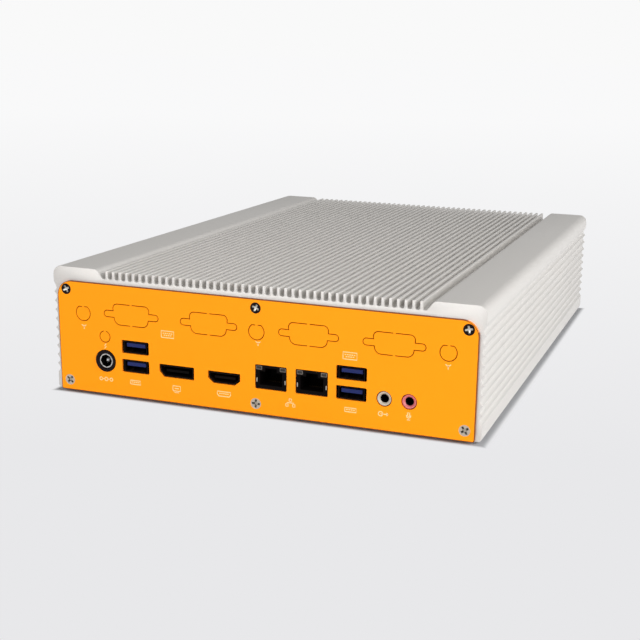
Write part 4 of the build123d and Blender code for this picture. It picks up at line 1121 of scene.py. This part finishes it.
@dataclass
class DataSocketPair:
    """Two stacked data sockets: the tongues' contacts and the springs in their steel can."""

    case: Case
    side: str
    x: float
    heights: tuple[float, float] = (3.5, 13.5)
    opening: float = 5.12
    tongue_drop: float = 0.7
    tongue: float = 1.9
    contacts: int = 4
    contact_pitch: float = 2.5
    contact: tuple[float, float, float] = (1.0, 6.0, 0.08)
    contact_depth: float = 1.6
    leaf_x: float = 3.2
    leaf_half: float = 1.0
    leaf_taper: float = 0.3
    leaf_length: float = 6.0
    leaf_rise: float = 0.75
    leaf_gauge: float = 0.12
    leaf_depth: float = 0.5
    leaf_steps: int = 12

    def leaf(self) -> np.ndarray:
        """A spring leaf's skin: at a share t of its length it is rise * sin(pi t)^2 high, and it narrows with t.

        Returns:
            A grid of sections along the leaf.
        """
        share = np.linspace(0, 1, self.leaf_steps)[:, None]
        half = np.array([-1.0, 1.0]) * (self.leaf_half - self.leaf_taper * share)
        rise = self.leaf_rise * np.sin(math.pi * share) ** 2
        sheet = np.stack(np.broadcast_arrays(half, self.leaf_length * share, rise), 2)
        return np.concatenate([sheet, (sheet - [0, 0, self.leaf_gauge])[:, ::-1]], 1)

    def build(self) -> None:
        """Adds four wide contacts under each tongue, and two spring leaves on each port's floor."""
        face, foot = self.case.face, self.case.foot
        contacts, springs = Piece(f"data_contacts_{self.side}"), Piece(f"data_springs_{self.side}")
        width, length, gauge = self.contact
        strip = carried(box_outline(width, length) + (0, length / 2), [(0, 0), (gauge, 0)])
        for level in self.heights:
            middle = foot + self.case.board_top + level
            under = middle + self.opening / 2 - self.tongue_drop - self.tongue
            for order in range(self.contacts):
                x = self.x + (order - (self.contacts - 1) / 2) * self.contact_pitch
                contacts.grid(Seat((x, face + self.contact_depth, under), (-1, 0, 0), (0, 1, 0)).set(strip))
            for aside in (-self.leaf_x, self.leaf_x):
                floor = middle - self.opening / 2 + self.leaf_gauge
                seat = Seat((self.x + aside, face + self.leaf_depth, floor), (1, 0, 0), (0, 1, 0))
                springs.grid(seat.set(self.leaf()))
        contacts.build(Finishes.CONTACT, "contact_gold")
        # The springs' near-black colour is painted shade
        springs.build(Finishes.SOCKET_STEEL, "socket_steel", sharp=60)


@dataclass
class NetworkSocket:
    """A network socket's bright parts: a frame round each lamp, and the spring tabs at its sides."""

    case: Case
    side: str
    x: float
    inner_half: float = 7.75
    inner_top: float = 11.85
    lamp: tuple[float, float] = (3.0, 1.9)
    lamp_radius: float = 0.2
    frame_width: float = 0.26
    frame_proud: float = 0.08
    frame_deep: float = 0.4
    frame_edge: float = 0.03
    tab: tuple[float, float, float] = (0.55, 2.2, 4.6)
    tab_radius: float = 0.25
    tab_bulge: tuple[tuple[float, float], ...] = ((-1.0, 0.0), (0.0, 0.0), (0.09, 0.06), (0.12, 0.18))
    depth: float = 0.3

    def build(self) -> None:
        """Sets a rectangular frame on each lamp's edge, and a bulged tab on each side of the cavity."""
        seat = self.case.on_panel(self.x, self.case.board_top, self.depth)
        frames, tabs = Piece(f"lamp_frames_{self.side}"), Piece(f"spring_tabs_{self.side}")
        w, edge, top, low = self.frame_width, self.frame_edge, self.frame_proud, -self.frame_deep
        around = [(low, 0.0), (top - edge, 0.0), (top, edge), (top, w - edge), (top - edge, w), (low, w), (low, 0.0)]
        frame_skin = carried(box_outline(*self.lamp, self.lamp_radius), around)
        tab_width, tab_height, tab_middle = self.tab
        tab_skin = carried(box_outline(tab_width, tab_height, self.tab_radius), list(self.tab_bulge))
        for side in (-1, 1):
            lamp_x = side * (self.inner_half - self.lamp[0] / 2)
            frames.grid(seat.set(frame_skin + [lamp_x, self.inner_top - self.lamp[1] / 2, 0]), capped=False)
            tabs.grid(seat.set(tab_skin + [side * (self.inner_half - tab_width / 2), tab_middle, 0]))
        frames.build(Finishes.LIGHT_FRAME, "socket_steel")
        tabs.build(Finishes.SPRING_STEEL, "socket_steel")


@dataclass
class AudioJack:
    """A moulded jack: a nose with a rolled mouth through the panel, and its body on the board."""

    case: Case
    name: str
    node: str
    slot: str
    finish: Finishes
    x: float
    axis: float = 2.85
    depth: float = 0.3
    bore: float = 1.85
    bore_depth: float = 15.0
    bore_start: float = 1.4
    pole: float = 0.05
    mouth: tuple[tuple[float, float], ...] = (
        (1.9, -1.15), (2.05, -0.95), (2.35, -0.62), (2.6, -0.3), (2.8, -0.1), (3.05, 0.0), (3.35, 0.0),
        (3.35, -0.06), (3.47, -0.2), (3.5, -0.45),
    )
    nose: float = 3.5
    nose_length: float = 3.1
    # The bore's black lining is painted shade, since the bore is the same moulding as the nose
    sleeve: tuple[tuple[float, float], ...] = (
        (2.1, -0.82), (2.02, -0.8), (1.75, -1.05), (1.65, -1.5), (1.65, -12.0), (1.86, -12.0), (1.86, -1.35),
        (2.1, -0.98), (2.1, -0.82),
    )
    body: tuple[float, float, float] = (5.4, 3.3, 16.2)
    body_power: int = 14
    shoulder: tuple[tuple[float, float], ...] = ((1.2, 0.0), (0.2, -0.05), (0.0, -0.25))
    back_edge: float = 0.2
    count: int = 72

    def ring(self, radius: float, height: float) -> np.ndarray:
        """A round ring of points: radius (cos t, sin t) at a height."""
        angle = np.linspace(0, 2 * math.pi, self.count, endpoint=False)
        return np.stack([radius * np.cos(angle), radius * np.sin(angle), np.full(self.count, height)], 1)

    def block(self, inset: float, height: float) -> np.ndarray:
        """The body's section: at angle t its radius is (|cos t / a|^n + |sin t / b|^n)^(-1/n).

        Args:
            inset: how far it stays within the body's size.
            height: its place along the jack.

        Returns:
            One ring of points.
        """
        half_width, half_height, _ = self.body
        angle = np.linspace(0, 2 * math.pi, self.count, endpoint=False)
        across = np.abs(np.cos(angle) / (half_width - inset)) ** self.body_power
        upward = np.abs(np.sin(angle) / (half_height - inset)) ** self.body_power
        radius = (across + upward) ** (-1 / self.body_power)
        lift = half_height - self.axis
        return np.stack([radius * np.cos(angle), radius * np.sin(angle) + lift, np.full(self.count, height)], 1)

    def build(self) -> None:
        """Lofts one closed skin: the bore's end, the rolled mouth, the nose and the body, and lines the bore in black
        as painted shade.
        """
        seat = self.case.on_panel(self.x, self.case.board_top + self.axis, self.depth)
        inside = [(self.pole, -self.bore_depth), (self.bore, -self.bore_depth), (self.bore, -self.bore_start)]
        profile = [*inside, *self.mouth, (self.nose, -self.nose_length)]
        back = -self.body[2]
        loft = np.stack([
            *[self.ring(radius, height) for radius, height in profile],
            *[self.block(inset, height - self.nose_length) for inset, height in self.shoulder],
            self.block(0.0, back + self.back_edge), self.block(self.back_edge, back),
        ])
        piece = Piece(self.name)
        piece.grid(seat.set(loft))
        piece.build(self.finish, self.slot, replaces=(self.node,))
        # A black lining of painted shade in the bore
        sleeve = Piece(f"{self.name}_sleeve")
        sleeve.grid(seat.set(turned(np.array(self.sleeve), self.count)), capped=False)
        sleeve.build(Finishes.SOCKET_BLACK, "socket_black")


@dataclass
class Dressing:
    """The finish that each CAD node keeps its own shape with."""

    finishes: dict[Finishes, tuple[str, ...]] = field(default_factory=lambda: {
        Finishes.PANEL: ("front_panel",),
        Finishes.BACK_PANEL: ("rear_panel",),
        Finishes.TRAY: ("bottom_tray", "drive_bracket"),
        # The shells' near-black colour is painted shade
        Finishes.SOCKET_STEEL: (
            "usb_shell_left", "usb_shell_right", "display_shell", "hdmi_shell", "lan_shell_left", "lan_shell_right",
        ),
        Finishes.TONGUE_BLUE: ("usb_insulators_left", "usb_insulators_right"),
        Finishes.SOCKET_BLACK: (
            "display_insulator", "lan_insert_left", "lan_insert_right", "memory_socket", "battery_holder",
        ),
        Finishes.JACK_BLACK: ("power_socket",),
        Finishes.JACK_RING: ("power_socket_ring",),
        Finishes.SOCKET_GREY: ("hdmi_insulator", "board_chokes"),
        Finishes.DARK_CONTACT: ("lan_contacts_left", "lan_contacts_right"),
        Finishes.LIGHT_GUIDE: ("lan_lights_left", "lan_lights_right"),
        Finishes.BRIGHT_RING: (
            "flange_nuts", "mounting_nuts", "board_screws", "power_socket_pin", "heat_block_screws",
            "drive_screws", "coin_cell",
        ),
        Finishes.BRASS: ("board_standoffs",),
        Finishes.BOARD: ("mainboard", "memory_module"),
        Finishes.SWITCH: ("power_switch", "power_switch_nut", "power_button"),
        Finishes.RING_LIGHT: ("power_light_ring",),
        Finishes.CHIP: ("board_chips",),
        Finishes.BLOCK: ("processor", "heat_block", "solid_state_drive"),
        Finishes.PAD: ("thermal_pad",),
    })

    def dress(self) -> None:
        """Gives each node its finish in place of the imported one."""
        for finish, nodes in self.finishes.items():
            for name in nodes:
                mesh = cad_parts[name].data
                mesh.materials.clear()
                mesh.materials.append(finish.value.material())
                log.info("%s: CAD node, finish %s", name, finish.value.name)


# The studio


@dataclass(frozen=True)
class ProductCamera:
    """The camera that took the picture, solved from the panel, the screws and the fins."""

    case: Case
    focal_px: float = 1130.42
    frame_px: float = 640.0
    azimuth: float = 18.76
    elevation: float = 14.78
    roll: float = 1.22
    aim: tuple[float, float, float] = (20.51, 100.0, 15.12)
    distance: float = 641.81
    centre_px: tuple[float, float] = (362.5, 340.16)
    sensor_mm: float = 36.0
    clip_m: tuple[float, float] = (0.01, 50.0)

    def build(self) -> None:
        """Places the camera: it looks at the aim from its azimuth and elevation, turned by its roll."""
        az, el, ro = map(math.radians, (self.azimuth, self.elevation, self.roll))
        back = Vector((math.sin(az) * math.cos(el), -math.cos(az) * math.cos(el), math.sin(el)))
        right = (-back).cross(Vector((0, 0, 1))).normalized()
        up = right.cross(-back)
        tilted_right = right * math.cos(ro) + up * math.sin(ro)
        tilted_up = up * math.cos(ro) - right * math.sin(ro)
        aim = Vector(self.aim) + Vector((0, self.case.front, self.case.foot))
        lens = bpy.data.cameras.new("product_camera")
        lens.sensor_width = self.sensor_mm
        lens.lens = self.focal_px / self.frame_px * self.sensor_mm
        lens.shift_x = (self.frame_px / 2 - self.centre_px[0]) / self.frame_px
        lens.shift_y = (self.centre_px[1] - self.frame_px / 2) / self.frame_px
        lens.clip_start, lens.clip_end = self.clip_m
        camera = bpy.data.objects.new("product_camera", lens)
        bpy.context.scene.collection.objects.link(camera)
        turn = Matrix((tilted_right, tilted_up, back)).transposed().to_4x4()
        camera.matrix_world = Matrix.Translation((aim + back * self.distance) * MM) @ turn
        bpy.context.scene.camera = camera


@dataclass(frozen=True)
class Lamp:
    """A soft square lamp that faces the computer: where it hangs and its side in metres, and its power in watts."""

    name: str
    spot: tuple[float, float, float]
    size: float
    power: float
    target: tuple[float, float, float] = (0, 0, 0.04)

    def build(self) -> None:
        """Hangs the lamp and turns it to its target."""
        light = bpy.data.lights.new(self.name, "AREA")
        light.shape, light.size, light.energy = "SQUARE", self.size, self.power
        lamp = bpy.data.objects.new(self.name, light)
        bpy.context.scene.collection.objects.link(lamp)
        lamp.location = self.spot
        lamp.rotation_mode = "QUATERNION"
        lamp.rotation_quaternion = (Vector(self.target) - Vector(self.spot)).to_track_quat("-Z", "Y")


@dataclass
class Studio:
    """A pale floor whose fade into an even backdrop is painted light falloff, painted shade round its contact line,
    and soft light that is stronger from the front.
    """

    case: Case
    # The near and far tones paint the floor's light falloff, and the contact tone paints shade round the footprint
    near_tone: str = "#e8e8ea"
    far_tone: str = "#ffffff"
    sky_tone: str = "#f9f9f9"
    lit_tone: str = "#f4f4f5"
    contact_painted_shade_tone: str = "#a2a3a6"
    zenith: float = 0.27
    horizon: float = 0.68
    zenith_height: float = 0.9
    floor_radius: float = 12.0
    floor_corners: int = 96
    fade_azimuth: float = 18.76
    fade_start: float = -0.2
    fade_half: float = 0.9
    fade_most: float = 0.72
    shadow_reach: float = 0.0035
    lamps: tuple[Lamp, ...] = (
        Lamp("front_softbox", (-0.35, -1.8, 0.75), 1.2, 15.0),
        Lamp("side_softbox", (1.25, -0.4, 0.7), 0.9, 20.0),
    )

    def world(self) -> None:
        """The sky: bright at the horizon and weak overhead for light, and the backdrop's tone where it is seen."""
        world = bpy.data.worlds.new("light_tent")
        bpy.context.scene.world = world
        tree = emptied(world)
        parts = add_node(tree, "SeparateXYZ", add_node(tree, "TexCoord").outputs["Generated"])
        height = add_node(tree, "MapRange", parts.outputs["Z"], From_Max=self.zenith_height)
        low, high = ((level, level, level, 1) for level in (self.horizon, self.zenith))
        light = add_node(tree, "Mix", height, data_type="RGBA", I6=low, I7=high)
        path = add_node(tree, "LightPath")
        final = add_node(tree, "Mix", path.outputs["Is Camera Ray"], data_type="RGBA", I6=light, I7=self.sky_tone)
        add_node(tree, "OutputWorld", Surface=add_node(tree, "Background", Color=final, Strength=1.0))

    def painted_floor_falloff(self, tree: bpy.types.NodeTree, place: Source) -> Source:
        """The backdrop's tone, whose fade from near to far is painted light falloff.

        With s the distance back along the floor from the computer's middle, and u how far s is past the
        fade's start, the tone runs from near to far by u / (u + half), and no further than the most.

        Args:
            tree: the paper's tree.
            place: Object coordinates in metres.

        Returns:
            The colour.
        """
        turn = math.radians(self.fade_azimuth)
        away = (-math.sin(turn), math.cos(turn), 0.0)
        back = add_node(tree, "VectorMath", place, away, operation="DOT_PRODUCT").outputs["Value"]
        beyond = add_node(tree, "Math", back, self.fade_start, operation="SUBTRACT")
        past = add_node(tree, "Math", beyond, 0.0, operation="MAXIMUM")
        whole = add_node(tree, "Math", past, self.fade_half, operation="ADD")
        share = add_node(tree, "Math", past, whole, operation="DIVIDE")
        capped = add_node(tree, "Math", share, self.fade_most, operation="MINIMUM")
        return add_node(tree, "Mix", capped, data_type="RGBA", I6=self.near_tone, I7=self.far_tone)

    def shadow_mask(self, tree: bpy.types.NodeTree, place: Source) -> Source:
        """How much of the floor's painted falloff tone is seen: none under the computer, and all of it past the
        shadow's reach.

        The distance from the footprint is the larger of |x| less half the width and |y| less half the depth.

        Args:
            tree: the paper's tree.
            place: Object coordinates in metres.

        Returns:
            The share, from 0 to 1.
        """
        parts = add_node(tree, "SeparateXYZ", place)
        middle = (self.case.front + self.case.back) / 2
        outside = []
        for axis, centre, size in (("X", 0.0, self.case.width), ("Y", middle, self.case.depth)):
            shifted = add_node(tree, "Math", parts.outputs[axis], centre * MM, operation="SUBTRACT")
            away = add_node(tree, "Math", shifted, operation="ABSOLUTE")
            outside.append(add_node(tree, "Math", away, size / 2 * MM, operation="SUBTRACT"))
        furthest = add_node(tree, "Math", *outside, operation="MAXIMUM")
        return add_node(tree, "MapRange", furthest, From_Max=self.shadow_reach, interpolation_type="SMOOTHSTEP")

    def floor(self) -> None:
        """A wide disc of matt paper whose painted falloff tone shows to the camera, but for a dark line of contact:
        there the camera sees the lit floor's cast shadow in a darker painted shade tone.
        """
        angle = np.linspace(0, 2 * math.pi, self.floor_corners, endpoint=False)
        ring = np.stack([np.cos(angle), np.sin(angle), np.zeros(self.floor_corners)], 1) * self.floor_radius
        mesh = bpy.data.meshes.new("studio_floor")
        mesh.from_pydata(ring.tolist(), [], [list(range(self.floor_corners))])
        disc = bpy.data.objects.new("studio_floor", mesh)
        bpy.context.scene.collection.objects.link(disc)
        paper = bpy.data.materials.new("matt_backdrop_paper")
        tree = emptied(paper)
        place = add_node(tree, "TexCoord").outputs["Object"]
        path = add_node(tree, "LightPath")
        camera, glossy = path.outputs["Is Camera Ray"], path.outputs["Is Glossy Ray"]
        # The camera sees the lit floor in the darker contact tone, painted shade over the cast shadow
        lit_tone = add_node(tree, "Mix", camera, data_type="RGBA", I6=self.lit_tone, I7=self.contact_painted_shade_tone)
        lit = add_node(tree, "BsdfDiffuse", Color=lit_tone)
        plain = add_node(tree, "Emission", Color=self.painted_floor_falloff(tree, place), Strength=1.0)
        seen = add_node(tree, "Math", camera, glossy, operation="MAXIMUM")
        share = add_node(tree, "Math", seen, self.shadow_mask(tree, place), operation="MULTIPLY")
        add_node(tree, "OutputMaterial", Surface=add_node(tree, "MixShader", share, lit, plain))
        mesh.materials.append(paper)

    def build(self) -> None:
        """Sets the world, the floor and the lamps."""
        self.world()
        self.floor()
        for lamp in self.lamps:
            lamp.build()
        bpy.context.scene.view_settings.view_transform = "Standard"


# Where the tray's screws, the sockets and the audio jacks stand, from the case's middle
TRAY_SCREW_X = 100.925
TRAY_SCREW_Y = 125.0
DATA_X = {"left": -66.65, "right": 49.8}
NETWORK_X = {"left": 8.1, "right": 29.5}
LINE_X, MICROPHONE_X = 66.35, 78.7


def screw_sets(case: Case) -> list[ScrewSet]:
    """The four sets of countersunk screws.

    Args:
        case: the sizes that they are set out from.

    Returns:
        The front panel's upper and lower screws, the rear panel's and the tray's.
    """
    xs, low, high = (-case.screw_x, 0.0, case.screw_x), case.screw_low, case.screw_high
    corners = [(x, z) for x in (xs[0], xs[2]) for z in (low, high)] + [(0.0, low), (0.0, high)]
    tray = [(x, y) for x in (-TRAY_SCREW_X, TRAY_SCREW_X) for y in (-TRAY_SCREW_Y, TRAY_SCREW_Y)]
    return [
        ScrewSet("panel_screws_upper", "front_screws_upper", "black_screw",
                 [case.on_panel(x, high) for x in xs], Recess.BLACK, length=8.0, first_turn=28),
        ScrewSet("panel_screws_lower", "front_screws_lower", "bright_screw",
                 [case.on_panel(x, low) for x in xs], Recess.BRIGHT, first_turn=50),
        ScrewSet("back_screws", "rear_screws", "bright_screw",
                 [case.on_back(x, z) for x, z in corners], Recess.BRIGHT),
        ScrewSet("tray_screws_dressed", "tray_screws", "bright_screw",
                 [case.underneath(x, y) for x, y in tray], Recess.BRIGHT, length=4.8),
    ]


def main() -> None:
    """Builds every piece, dresses the CAD nodes that stay, and sets the studio."""
    logging.basicConfig(level=logging.INFO, format="%(name)s: %(message)s")
    case = Case()
    Dressing().dress()
    parts = [
        FinnedHousing(case), *screw_sets(case), PrintedMarks(case), KnockoutCuts(case), PanelEdge(case),
        *[DataSocketPair(case, side, x) for side, x in DATA_X.items()],
        *[NetworkSocket(case, side, x) for side, x in NETWORK_X.items()],
        AudioJack(case, "line_jack_moulding", "audio_jack_line", "audio_green", Finishes.LINE_JACK, LINE_X),
        AudioJack(
            case, "microphone_jack_moulding", "audio_jack_microphone", "audio_pink", Finishes.MICROPHONE_JACK,
            MICROPHONE_X,
        ),
        DomedFeet(case), ProductCamera(case), Studio(case),
    ]
    for part in parts:
        part.build()


if __name__ == "__main__":
    main()
